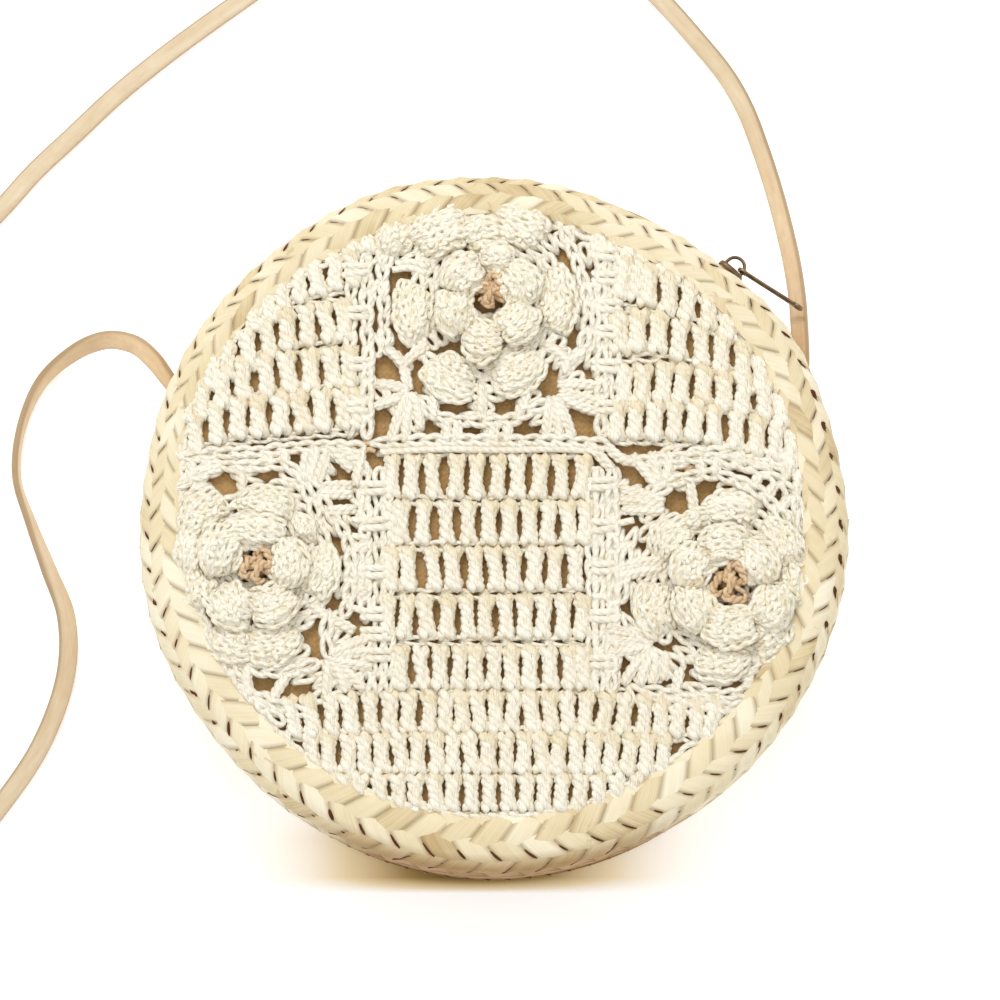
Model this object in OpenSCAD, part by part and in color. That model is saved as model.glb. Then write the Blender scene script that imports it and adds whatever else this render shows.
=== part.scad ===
// Round handbag, lying on its back: plaited leaf band and ring, crochet front,
// zip along the top of the band, and a long flat leather strap.
// +Z is out of the front face, +Y is towards the zip, the origin is the bottom
// centre of the back panel.

/* [Bag] */
// Outer diameter of the front ring
bag_d = 210; // [206:1:214]
// Depth of the bag, from the back panel to the top of the front ring
bag_h = 76; // [74:1:78]
// Outer diameter of the band at its fullest, half way up
mid_d = 219; // [217:1:221]
// Outer diameter of the band where it meets the back panel
back_d = 207; // [205:1:209]
// Thickness of the plaited leaf
leaf_t = 2.2; // [1.6:0.1:2.2]

/* [Front] */
// Width of the plaited ring round the crochet
ring_w = 11.4; // [10:0.2:13]
// Thickness of the crochet panel
crochet_t = 2.8; // [2:0.2:2.8]
// Radius of each crochet flower
flower_r = 28; // [24:1:29]
// Height of one layer of petals
petal_t = 2.8; // [2:0.2:3]
// Distance of the bend line of the open mouth above the middle
bend_y = 58; // [56:1:60]

/* [Zip] */
// Height of the middle of the zip above the back
zip_z = 42; // [41:0.5:43]
// Radius of the middle of the teeth
zip_r = 109.2; // [109:0.1:109.4]
// Half of the angle that the zip opening takes
zip_half = 52; // [51:0.5:53]
// Where the slider stands, clockwise from the top
slider_at = 41.6; // [38:0.2:44]
// Length of the pull tab
tab_l = 25.2; // [18:0.2:26]
// Angle of the pull tab away from the band
tab_tilt = 8; // [8:1:16]

/* [Strap] */
// Width of the leather strap
strap_w = 6.2; // [5.6:0.1:6.6]
// Thickness of the leather strap
strap_t = 2.2; // [1.8:0.1:2.4]

/* [Hidden] */
$fn = 96;

leaf = [0.93, 0.87, 0.68];
leaf_dark = [0.86, 0.78, 0.56];
cotton = [0.95, 0.92, 0.83];
lining = [0.62, 0.47, 0.31];
leather = [0.85, 0.70, 0.50];
bronze = [0.36, 0.28, 0.19];
peach = [0.80, 0.64, 0.45];
tape = [0.58, 0.44, 0.30];

bag_r = bag_d / 2;
mid_r = mid_d / 2;
back_r = back_d / 2;
gap = 0.3;                       // clear space between neighbours
band_z0 = leaf_t + 0.2;          // foot of the band, on the back panel
ring_z1 = bag_h + 0.1;           // top of the front ring
ring_z0 = ring_z1 - leaf_t - 0.2;
band_z1 = ring_z0 - gap;         // top of the band, under the ring
crochet_r = bag_r - ring_w - 0.2;
crochet_x = -0.6;                // the crochet sits a little to the left
crochet_z0 = ring_z0 + 0.1;
crochet_z1 = crochet_z0 + crochet_t;
petal_z0 = crochet_z1 + gap;
bend_z = crochet_z1 + 0.2;       // height of the bend line
strip_gap = 8.2;                 // from the middle of the zip to each strip's edge
lining_in = 4.4;                 // from the band's outside to the lining
lining_t = 0.8;

// Outside radius of the band at the height z: full at the zip, less at both rims.
function band_r(z) = z < zip_z
  ? back_r + (mid_r - back_r) * (1 - pow((zip_z - z) / (zip_z - band_z0), 2))
  : bag_r + (mid_r - bag_r) * (1 - pow((z - zip_z) / (band_z1 - zip_z), 2));

// Wall profile between two heights, from a depth d0 to a depth d1 under the outside.
function wall(z0, z1, d0, d1, n = 8) = concat(
  [for (i = [0:n]) let (z = z0 + (z1 - z0) * i / n) [band_r(z) - d0, z]],
  [for (i = [n:-1:0]) let (z = z0 + (z1 - z0) * i / n) [band_r(z) - d1, z]]);

// A profile turned round +Z between two angles, clockwise from the top.
module turned(a0, a1) {
  rotate([0, 0, 90 - a1]) rotate_extrude(angle = a1 - a0, $fn = 180) children();
}
module lower_side() {
  intersection() {
    children();
    translate([-150, -150, -10]) cube([300, 150 + bend_y - 0.2, 200]);
  }
}
module upper_side() {
  intersection() {
    children();
    translate([-150, bend_y + 0.2, -10]) cube([300, 150, 200]);
  }
}

// ---- front face ----
module whole_ring() {
  rotate_extrude($fn = 180) translate([bag_r - ring_w, ring_z0]) square([ring_w, ring_z1 - ring_z0]);
}
module front_ring() { color(leaf) lower_side() whole_ring(); }
module front_ring_flap() { color(leaf) upper_side() whole_ring(); }

module whole_crochet() {
  translate([0, 0, crochet_z0]) cylinder(r = crochet_r, h = crochet_t, $fn = 180);
}
module crochet_panel() { color(cotton) lower_side() whole_crochet(); }
module crochet_flap() { color(cotton) upper_side() whole_crochet(); }

module whole_lining() {
  translate([0, 0, ring_z0 - 1.3]) cylinder(r = band_r(ring_z0 - 1.3) - lining_in - lining_t - gap - 0.6, h = 0.9, $fn = 180);
}
module front_lining() { color(lining) lower_side() whole_lining(); }
module front_lining_flap() { color(lining) upper_side() whole_lining(); }

flower_at = [[-71, -18], [71, -24], [-2, 65]];  // left, right, top
knot_z = petal_z0 + 2 * petal_t;

// Two layers of round petals; the front ring's inner edge trims the outer ones.
module flower(at, turn) {
  intersection() {
    translate([at[0], at[1], petal_z0]) rotate([0, 0, turn]) {
      cylinder(r = flower_r * 0.55, h = petal_t);
      for (i = [0:7]) rotate([0, 0, i * 45]) translate([flower_r * 0.64, 0, 0])
        cylinder(r = flower_r * 0.36, h = petal_t);
      translate([0, 0, petal_t - 0.4]) {
        cylinder(r = flower_r * 0.3, h = petal_t + 0.4);
        for (i = [0:5]) rotate([0, 0, 20 + i * 60]) translate([flower_r * 0.33, 0, 0])
          cylinder(r = flower_r * 0.22, h = petal_t + 0.4);
      }
    }
    translate([crochet_x, 0, 0]) cylinder(r = crochet_r + 2, h = 200, $fn = 180);
  }
}
module flower_left() { color(cotton) flower(flower_at[0], 10); }
module flower_right() { color(cotton) flower(flower_at[1], 0); }
module flower_top() { color(cotton) upper_side() flower(flower_at[2], 5); }
// Cut back at a slant, so that the upper petals can tip towards it.
module flower_top_lower() {
  color(cotton) difference() {
    lower_side() flower(flower_at[2], 5);
    translate([-60, bend_y - 0.3, bend_z]) rotate([33, 0, 0]) cube([120, 60, 40]);
  }
}
module knot(at) {
  translate([at[0], at[1], knot_z + gap]) cylinder(r1 = 3.4, r2 = 2, h = 2.4, $fn = 24);
}
module flower_centres() { color(peach) { knot(flower_at[0]); knot(flower_at[1]); } }
module flower_centre_top() { color(peach) knot(flower_at[2]); }

module round_thread(r, z, d) {
  rotate_extrude($fn = 180) translate([r, z]) square(d, center = true);
}
module crochet_thread() { color(cotton) lower_side() round_thread(bag_r - ring_w + 1.2, ring_z1 + 0.4, 0.5); }
module crochet_thread_flap() { color(cotton) upper_side() round_thread(bag_r - ring_w + 1.2, ring_z1 + 0.4, 0.5); }
module rim_thread() { color(leaf_dark) lower_side() round_thread(bag_r + 0.5, ring_z0 - 0.05, 0.7); }
module rim_thread_flap() { color(leaf_dark) upper_side() round_thread(bag_r + 0.5, ring_z0 - 0.05, 0.7); }

// ---- band ----
slit_h = strap_w + 1.6;
module strap_slits() {
  translate([95.8, 46, zip_z]) cube([6.2, 24, slit_h], center = true);
  translate([-97.4, 43.5, zip_z]) rotate([0, 0, 20]) cube([6.4, 24, slit_h], center = true);
}
module side_band() {
  color(leaf_dark) difference() {
    turned(zip_half + 0.25, 360 - zip_half - 0.25) polygon(wall(band_z0, band_z1, 0, leaf_t));
    strap_slits();
  }
}
module upper_strip_front() {
  color(leaf) turned(-zip_half + 0.25, zip_half - 0.25) polygon(wall(zip_z + strip_gap, band_z1, 0, leaf_t, 5));
}
module upper_strip_back() {
  color(leaf_dark) turned(-zip_half + 0.25, zip_half - 0.25) polygon(wall(band_z0, zip_z - strip_gap, 0, leaf_t, 5));
}

// ---- linings ----
module band_lining() {
  color(lining) difference() {
    turned(zip_half + 0.25, 360 - zip_half - 0.25)
      polygon(wall(band_z0 + 1.5, ring_z0 - 1.6, lining_in, lining_in + lining_t));
    strap_slits();
  }
}
module upper_lining_front() {
  color(lining) turned(-zip_half + 0.25, zip_half - 0.25)
    polygon(wall(zip_z + strip_gap, ring_z0 - 1.6, lining_in, lining_in + lining_t, 5));
}
module upper_lining_back() {
  color(lining) turned(-zip_half + 0.25, zip_half - 0.25)
    polygon(wall(band_z0 + 1.5, zip_z - strip_gap, lining_in, lining_in + lining_t, 5));
}
module back_lining() {
  color(lining) translate([0, 0, leaf_t + 0.3]) cylinder(r = back_r - lining_in - lining_t - 1.2, h = 0.8, $fn = 180);
}

// ---- back ----
module back_panel() { color(leaf) cylinder(r = back_r - 0.6, h = leaf_t, $fn = 180); }
module back_thread() { color(leaf_dark) round_thread(back_r + 0.1, leaf_t - 0.75, 0.8); }

// ---- zip ----
tape_t = 0.6;
tooth_w = 2.6;       // along the height
tooth_z = 0.8;       // from the middle to the teeth of either row
tape_z = tooth_z + tooth_w;
// s = 1 for the front half, -1 for the back half. The tape runs flat by the teeth,
// then dips under the strip's edge.
function tape_outline(s) = let (ro = zip_r + tape_t / 2, rs = mid_r - leaf_t - 0.8) [
  [ro, zip_z + s * tape_z], [ro, zip_z + s * (tape_z + 1.5)],
  [rs, zip_z + s * (strip_gap - 0.3)], [rs - 0.4, zip_z + s * (strip_gap + 4)],
  [rs - 0.4 - tape_t, zip_z + s * (strip_gap + 4)], [rs - tape_t, zip_z + s * (strip_gap - 0.6)],
  [ro - tape_t, zip_z + s * (tape_z + 1.2)], [ro - tape_t, zip_z + s * tape_z]];
module zip_tape(s) { turned(-zip_half + 0.6, zip_half - 0.6) polygon(tape_outline(s)); }
module zip_tape_front() { color(tape) zip_tape(1); }
module zip_tape_back() { color(tape) zip_tape(-1); }

teeth_half = 47.5;
teeth_n = 60;
module zip_teeth(s) {
  z0 = s > 0 ? zip_z + tooth_z : zip_z - tooth_z - tooth_w;
  bead_z = s > 0 ? zip_z + tape_z - 0.9 : zip_z - tape_z;
  turned(-teeth_half, teeth_half) translate([zip_r - 0.7, bead_z]) square([1.4, 0.9]);
  for (i = [0:teeth_n - 1])
    rotate([0, 0, -teeth_half + 0.4 + (i + (s > 0 ? 0.25 : 0.75)) * (2 * teeth_half - 0.8) / teeth_n])
      translate([-0.65, zip_r - 1, z0]) cube([1.3, 2, tooth_w]);
}
module zip_teeth_front() { color(bronze) zip_teeth(1); }
module zip_teeth_back() { color(bronze) zip_teeth(-1); }
module zip_stops() {
  color(bronze) {
    rotate([0, 0, zip_half - 2.6]) translate([-1, zip_r - 1.2, zip_z - tape_z]) cube([2, 2.4, 2 * tape_z - gap]);
    rotate([0, 0, -zip_half + 2.6]) translate([-1, zip_r - 1.2, zip_z - tape_z]) cube([2, 2.4, tape_z - gap]);
  }
}

// Slider frame: x along the band (clockwise), y outwards, z up, from the zip's middle.
module at_slider() { rotate([0, 0, -slider_at]) translate([0, zip_r, zip_z]) children(); }
slider_outline = [[-4.5, -3.6], [-3.6, -4.6], [3.4, -4.6], [4.5, -3.2],
                  [4.5, 3.2], [3.4, 4.6], [-3.6, 4.6], [-4.5, 3.6]];
module plate(y0, y1) {
  translate([0, y1, 0]) rotate([90, 0, 0]) linear_extrude(height = y1 - y0) polygon(slider_outline);
}
module slider_body() {
  color(bronze) at_slider() {
    plate(1.4, 3.3);
    plate(-2.8, -1.4);
    for (s = [-1, 1]) {
      translate([-3.6, 0.65, s > 0 ? 3.7 : -4.6]) cube([7.0, 1.0, 0.9]);
      translate([-3.6, -1.65, s > 0 ? 3.7 : -4.6]) cube([7.0, 1.0, 0.9]);
    }
    translate([3.2, -1.6, -0.5]) cube([1.3, 3.2, 1.0]);
  }
}
crown_r = 3.0;
wire_d = 1.1;
pivot_y = 4.8;       // from the zip's middle out to the crown's centre
module slider_crown() {
  color(bronze) at_slider() translate([0, pivot_y, 0]) {
    rotate_extrude(angle = 180) translate([crown_r, 0]) circle(d = wire_d, $fn = 24);
    for (s = [-1, 1]) translate([s * crown_r, 3.3 - pivot_y, 0]) rotate([-90, 0, 0])
      cylinder(d = wire_d, h = pivot_y - 3.3, $fn = 24);
  }
}
module pull_tab() {
  color(bronze) at_slider() translate([0, pivot_y, 0]) rotate([0, 0, tab_tilt]) difference() {
    union() {
      rotate([-90, 0, 0]) translate([crown_r, 0, -0.45]) cylinder(r = 1.9, h = 0.9, $fn = 48);
      translate([crown_r, -0.45, -1.4]) cube([tab_l - crown_r - 1.9, 0.9, 2.8]);
      rotate([-90, 0, 0]) translate([tab_l - 1.9, 0, -0.45]) cylinder(r = 1.9, h = 0.9, $fn = 48);
    }
    rotate([-90, 0, 0]) translate([crown_r, 0, -2]) cylinder(r = 0.95, h = 4, $fn = 32);
    rotate([-90, 0, 0]) translate([tab_l - 1.9, 0, -2]) cylinder(r = 0.9, h = 4, $fn = 32);
  }
}

// ---- strap ----
// Route of the strap from its right end to its left end:
// x, y, height of its lower side above the table, and its roll.
// A roll above 0 lifts the side that lies on the right of the way along it.
route = [
  [98, 25, 38.9, 90], [96.5, 30, 38.9, 90], [95, 35.5, 38.9, 86], [94.8, 41, 38.9, 78],
  [95.3, 47, 38.6, 66], [96, 53, 38.2, 56], [96, 60, 36.6, 48], [96, 68, 33.2, 46],
  [96, 76, 29.2, 46], [95.6, 85, 24, 45], [94.9, 95, 17, 44], [93.8, 105, 10, 43],
  [92.3, 115, 4.5, 42], [90.2, 125, 1, 41], [87, 136, 0.1, 40], [82.4, 149, 0.1, 38],
  [76, 161, 0.1, 36], [66, 174, 0.1, 34], [55, 187, 0.1, 32], [42, 200, 0.1, 30],
  [26, 211, 0.1, 28], [8, 218, 0.1, 27], [-12, 220, 0.1, 26], [-32, 217, 0.1, 25],
  [-51, 209, 0.1, 24], [-67, 199, 0.1, 23], [-83, 187, 0.1, 22], [-95, 178, 0.1, 21],
  [-109, 167, 0.1, 20], [-124, 154, 0.1, 20], [-138, 140, 0.1, 20], [-150, 128, 0.1, 20],
  [-161, 115, 0.1, 20], [-178, 97, 0.1, 18], [-196, 77, 0.1, 16], [-213, 54, 0.1, 13],
  [-228, 28, 0.1, 10], [-239, 0, 0.1, 7], [-246, -29, 0.1, 4], [-248, -58, 0.1, 0],
  [-244, -87, 0.1, -4], [-234, -110, 0.1, -8], [-219, -125, 0.1, -13], [-202, -128, 0.1, -17],
  [-186, -117, 0.1, -20], [-171, -99, 0.1, -23], [-155, -79, 0.1, -25], [-143, -60, 0.1, -28],
  [-136, -39, 0.1, -32], [-136, -20, 0.1, -38], [-142, -4, 0.1, -55], [-148, 11, 0.1, -74],
  [-153, 26, 0.1, -86], [-152, 42, 0.1, -88], [-146, 57, 0.1, -76], [-135, 66, 4, -60],
  [-124, 68, 13, -48], [-114, 64, 24, -42], [-107, 57, 33, -42], [-102, 50, 37.6, -52],
  [-98.5, 45, 38.6, -64], [-96.3, 40, 38.9, -76], [-95.5, 35, 38.9, -86],
  [-96.3, 30, 38.9, -90], [-98, 25, 38.9, -90]];

function half_height(roll) = abs(sin(roll)) * strap_w / 2 + abs(cos(roll)) * strap_t / 2;
centre = [for (p = route) [p[0], p[1], p[2] + half_height(p[3])]];
last = len(route) - 1;
function unit(v) = v / norm(v);
function along(i) = unit(centre[min(i + 1, last)] - centre[max(i - 1, 0)]);
function right_of(i) = let (t = along(i)) unit([t[1], -t[0], 0]);
// Eight corners round a flat section with broken edges.
section = [[1, 0.5], [0.84, 1], [-0.84, 1], [-1, 0.5], [-1, -0.5], [-0.84, -1], [0.84, -1], [1, -0.5]];
function ring_points(i) = let (r = right_of(i), u = cross(r, along(i)), a = route[i][3],
    w = cos(a) * r + sin(a) * u, n = cos(a) * u - sin(a) * r)
  [for (c = section) centre[i] + w * c[0] * strap_w / 2 + n * c[1] * strap_t / 2];
strap_points = [for (i = [0:last]) for (p = ring_points(i)) p];
strap_faces = concat(
  [for (i = [0:last - 1]) for (k = [0:7]) [i * 8 + k, i * 8 + (k + 1) % 8, (i + 1) * 8 + k]],
  [for (i = [0:last - 1]) for (k = [0:7]) [i * 8 + (k + 1) % 8, (i + 1) * 8 + (k + 1) % 8, (i + 1) * 8 + k]],
  [[for (k = [7:-1:0]) k]],
  [[for (k = [0:7]) last * 8 + k]]);
module strap() { color(leather) polyhedron(points = strap_points, faces = strap_faces, convexity = 10); }

// Backing patch on the lining, and the rivet that clamps the strap's end to it.
patch_r1 = mid_r - lining_in - lining_t - 0.3;
module strap_tab(a) {
  turned(a - 5, a + 5) translate([patch_r1 - 1.6, zip_z - 6]) square([1.6, 12]);
}
module strap_tab_right() { color(leather) strap_tab(76); }
module strap_tab_left() { color(leather) strap_tab(-76); }
module rivet(s) {
  translate([s * 97, 29, zip_z]) rotate([0, 0, -s * 73.4]) rotate([90, 0, 0]) {
    cylinder(d = 2.2, h = 4.2, center = true, $fn = 32);
    translate([0, 0, 1.5]) cylinder(d = 5.2, h = 1.0, $fn = 32);
  }
}
module strap_rivets() { color(bronze) { rivet(1); rivet(-1); } }

front_ring();
front_ring_flap();
crochet_panel();
crochet_flap();
flower_left();
flower_right();
flower_top();
flower_top_lower();
flower_centres();
flower_centre_top();
front_lining();
front_lining_flap();
crochet_thread();
crochet_thread_flap();
rim_thread();
rim_thread_flap();
side_band();
upper_strip_front();
upper_strip_back();
zip_tape_front();
zip_tape_back();
zip_teeth_front();
zip_teeth_back();
zip_stops();
slider_body();
slider_crown();
pull_tab();
back_panel();
back_lining();
back_thread();
band_lining();
upper_lining_front();
upper_lining_back();
strap();
strap_tab_right();
strap_tab_left();
strap_rivets();
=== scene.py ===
import math
import bpy
import numpy as np
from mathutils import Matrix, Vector


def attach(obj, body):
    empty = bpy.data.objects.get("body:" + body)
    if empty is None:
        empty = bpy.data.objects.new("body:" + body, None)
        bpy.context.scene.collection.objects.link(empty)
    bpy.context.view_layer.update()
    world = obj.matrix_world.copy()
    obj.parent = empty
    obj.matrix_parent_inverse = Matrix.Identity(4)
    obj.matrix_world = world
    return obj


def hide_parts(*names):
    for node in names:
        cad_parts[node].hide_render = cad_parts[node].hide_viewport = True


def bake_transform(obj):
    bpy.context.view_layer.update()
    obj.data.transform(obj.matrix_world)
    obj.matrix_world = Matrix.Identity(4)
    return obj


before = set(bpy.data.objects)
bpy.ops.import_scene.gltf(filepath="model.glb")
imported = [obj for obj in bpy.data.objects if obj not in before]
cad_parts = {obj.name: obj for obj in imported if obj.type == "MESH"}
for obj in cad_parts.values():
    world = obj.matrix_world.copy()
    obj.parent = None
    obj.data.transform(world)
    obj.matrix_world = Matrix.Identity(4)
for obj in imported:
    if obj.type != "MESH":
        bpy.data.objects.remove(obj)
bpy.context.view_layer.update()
rng = np.random.default_rng(11)
MM = 0.001
TAU = 2 * math.pi

# ------------------------------------------------------------------ camera
EL = math.radians(78.5)
DIST = 1100.0
LENS = 132.0
FPX = LENS / 36 * 1000
TARGET = np.array([2.0, 3.7, 76.0])
BACK = np.array([0.0, -math.cos(EL), math.sin(EL)])
UP = np.array([0.0, math.sin(EL), math.cos(EL)])
EYE = TARGET + BACK * DIST

cam_data = bpy.data.cameras.new("camera")
cam_data.lens = LENS
cam_data.sensor_width = 36
cam_data.clip_start, cam_data.clip_end = 0.05, 20
cam = bpy.data.objects.new("camera", cam_data)
bpy.context.scene.collection.objects.link(cam)
cam.location = Vector(EYE * MM)
cam.rotation_mode = "QUATERNION"
cam.rotation_quaternion = Vector(-BACK).to_track_quat("-Z", "Y")
bpy.context.scene.camera = cam


def P(px, py, z=75.5):
    """The point at height z that the camera shows at (px, py) of a 1000 x 1000 picture, in mm."""
    d = -BACK + np.array([1.0, 0, 0]) * (px - 500) / FPX + UP * (500 - py) / FPX
    q = EYE + d * ((z - EYE[2]) / d[2])
    return np.array([q[0], q[1], z])


# ------------------------------------------------------------------ mesh building
def norm(a):
    return a / np.maximum(np.linalg.norm(a, axis=-1, keepdims=True), 1e-9)


class Build:
    """Gathers vertices in mm, quads and triangles with their UVs, and two values per vertex."""

    def __init__(self):
        self.v, self.q, self.quv, self.t, self.tuv, self.tint, self.edge = [], [], [], [], [], [], []
        self.qm, self.tm = [], []
        self.n = 0

    def add(self, v, q, quv, t=None, tuv=None, tint=0.5, edge=0.0, mat=0):
        v = np.asarray(v, float).reshape(-1, 3)
        self.v.append(v)
        self.q.append(np.asarray(q, int).reshape(-1, 4) + self.n)
        self.quv.append(np.asarray(quv, float).reshape(-1, 4, 2))
        self.qm.append(np.full(len(self.q[-1]), mat))
        if t is not None:
            self.t.append(np.asarray(t, int).reshape(-1, 3) + self.n)
            self.tuv.append(np.asarray(tuv, float).reshape(-1, 3, 2))
            self.tm.append(np.full(len(self.t[-1]), mat))
        self.tint.append(np.broadcast_to(np.asarray(tint, float), (len(v),)).copy())
        self.edge.append(np.broadcast_to(np.asarray(edge, float), (len(v),)).copy())
        self.n += len(v)

    def loft(self, rings, length=None, closed=False, uv=None, tint=0.5, edge=0.0, caps=True, mat=0):
        """Rings (n, k, 3) joined into a closed tube. uv (n, k, 2) is per vertex; without it u is the length in cm and v goes once round."""
        rings = np.asarray(rings, float)
        n, k, _ = rings.shape
        i = np.arange(n if closed else n - 1)[:, None]
        j = np.arange(k)[None, :]
        i2, j2 = (i + 1) % n, (j + 1) % k
        quad = np.stack([i * k + j + 0 * j2, i * k + j2, i2 * k + j2, i2 * k + j + 0 * j2], -1).reshape(-1, 4)
        if length is None:
            c = rings.mean(1)
            length = np.concatenate([[0], np.cumsum(np.linalg.norm(np.diff(c, axis=0), axis=1))]) / 10
        if uv is None:
            step = length[-1] / max(n - 1, 1)
            le = np.concatenate([length, [length[-1] + step]])
            u0 = np.broadcast_to(le[i], (len(i), k))
            u1 = np.broadcast_to(le[i + 1], (len(i), k))
            v0 = np.broadcast_to(j / k, (len(i), k))
            v1 = np.broadcast_to((j + 1) / k, (len(i), k))
            quv = np.stack([np.stack([u0, v0], -1), np.stack([u0, v1], -1), np.stack([u1, v1], -1), np.stack([u1, v0], -1)], -2)
        else:
            flat = np.asarray(uv, float).reshape(-1, 2)
            quv = flat[quad]
        verts = rings.reshape(-1, 3)
        t = tuv = None
        if caps and not closed:
            ends = np.stack([rings[0].mean(0), rings[-1].mean(0)])
            verts = np.concatenate([verts, ends])
            jj = np.arange(k)
            a = np.stack([np.full(k, n * k), (jj + 1) % k, jj], -1)
            b = np.stack([np.full(k, n * k + 1), (n - 1) * k + jj, (n - 1) * k + (jj + 1) % k], -1)
            t = np.concatenate([a, b])
            tuv = np.zeros((len(t), 3, 2))
            if uv is not None:
                ext = np.concatenate([flat, [flat[:k].mean(0)], [flat[-k:].mean(0)]])
                tuv = ext[t]
            else:
                tuv[: k, :, 0] = length[0]
                tuv[k:, :, 0] = length[-1]
            if np.ndim(tint):
                tint = np.concatenate([np.ravel(tint), [np.ravel(tint)[0], np.ravel(tint)[-1]]])
            if np.ndim(edge):
                edge = np.concatenate([np.ravel(edge), [1.0, 1.0]])
        self.add(verts, quad, quv, t, tuv, tint, edge, mat)

    def done(self, name, mats, smooth=True):
        v = np.concatenate(self.v) * MM
        q, quv = np.concatenate(self.q), np.concatenate(self.quv)
        t = np.concatenate(self.t) if self.t else np.zeros((0, 3), int)
        tuv = np.concatenate(self.tuv) if self.tuv else np.zeros((0, 3, 2))
        me = bpy.data.meshes.new(name)
        me.vertices.add(len(v))
        me.vertices.foreach_set("co", v.astype(np.float32).ravel())
        me.loops.add(len(q) * 4 + len(t) * 3)
        me.loops.foreach_set("vertex_index", np.concatenate([q.ravel(), t.ravel()]).astype(np.int32))
        me.polygons.add(len(q) + len(t))
        starts = np.concatenate([np.arange(len(q)) * 4, len(q) * 4 + np.arange(len(t)) * 3])
        me.polygons.foreach_set("loop_start", starts.astype(np.int32))
        me.polygons.foreach_set("use_smooth", np.full(len(starts), smooth))
        mi = np.concatenate(self.qm + self.tm).astype(np.int32)
        me.polygons.foreach_set("material_index", mi)
        me.update(calc_edges=True)
        layer = me.uv_layers.new(name="UVMap")
        layer.data.foreach_set("uv", np.concatenate([quv.reshape(-1, 2), tuv.reshape(-1, 2)]).astype(np.float32).ravel())
        for key, val in (("tint", self.tint), ("edge", self.edge)):
            at = me.attributes.new(key, "FLOAT", "POINT")
            at.data.foreach_set("value", np.concatenate(val).astype(np.float32))
        me.validate()
        ob = bpy.data.objects.new(name, me)
        bpy.context.scene.collection.objects.link(ob)
        for m in mats if isinstance(mats, (list, tuple)) else [mats]:
            me.materials.append(m)
        return ob


def smooth_path(pts, sub=6, closed=False):
    """A Catmull-Rom curve through pts (any number of columns)."""
    p = np.asarray(pts, float)
    if closed:
        p = np.concatenate([p[-1:], p, p[:2]])
    else:
        p = np.concatenate([2 * p[:1] - p[1:2], p, 2 * p[-1:] - p[-2:-1]])
    out = []
    u = np.arange(sub)[:, None] / sub
    for i in range(1, len(p) - 2):
        a, b, c, d = p[i - 1], p[i], p[i + 1], p[i + 2]
        out.append(0.5 * (2 * b + (c - a) * u + (2 * a - 5 * b + 4 * c - d) * u ** 2 + (3 * b - a - 3 * c + d) * u ** 3))
    out = np.concatenate(out)
    return out if closed else np.concatenate([out, p[-2:-1]])


def resample(pts, step):
    """Points spaced evenly, about step apart."""
    p = np.asarray(pts, float)
    d = np.concatenate([[0], np.cumsum(np.linalg.norm(np.diff(p[:, :3], axis=0), axis=1))])
    n = max(2, int(round(d[-1] / step)) + 1)
    s = np.linspace(0, d[-1], n)
    return np.stack([np.interp(s, d, p[:, c]) for c in range(p.shape[1])], -1)


def carried(pts, closed=False):
    """Tangent and two normals at each point, turned as little as possible; b stays near the side, n near +Z."""
    p = np.asarray(pts, float)
    t = norm(np.roll(p, -1, 0) - np.roll(p, 1, 0)) if closed else norm(np.gradient(p, axis=0))
    up = np.array([0, 0, 1.0]) if abs(t[0, 2]) < 0.9 else np.array([0, 1.0, 0])
    n = np.empty_like(p)
    v = up - t[0] * (up @ t[0])
    n[0] = v / np.linalg.norm(v)
    for i in range(1, len(p)):
        v = n[i - 1] - t[i] * (n[i - 1] @ t[i])
        n[i] = v / max(np.linalg.norm(v), 1e-9)
    return t, n, np.cross(t, n)


def tube(build, pts, rad, k=7, tint=0.5, closed=False, flat=1.0, mat=0, edge=0.0):
    """A round tube of radius rad (number or per point) along pts. flat squeezes it along its upper normal."""
    p = np.asarray(pts, float)
    t, n, b = carried(p, closed)
    a = np.arange(k) / k * TAU
    r = np.broadcast_to(np.asarray(rad, float), (len(p),))[:, None, None]
    rings = p[:, None] + r * (np.cos(a)[None, :, None] * b[:, None] + flat * np.sin(a)[None, :, None] * n[:, None])
    # painted shade: the strand's under side is marked here for a darker colour
    if edge == "under_shade":  # 0 on the upper side, rising to 1 on the under side
        edge = np.tile(np.clip(0.38 - 0.9 * np.sin(a), 0, 1), len(p))
    build.loft(rings, closed=closed, tint=tint, mat=mat, edge=edge)


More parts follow.
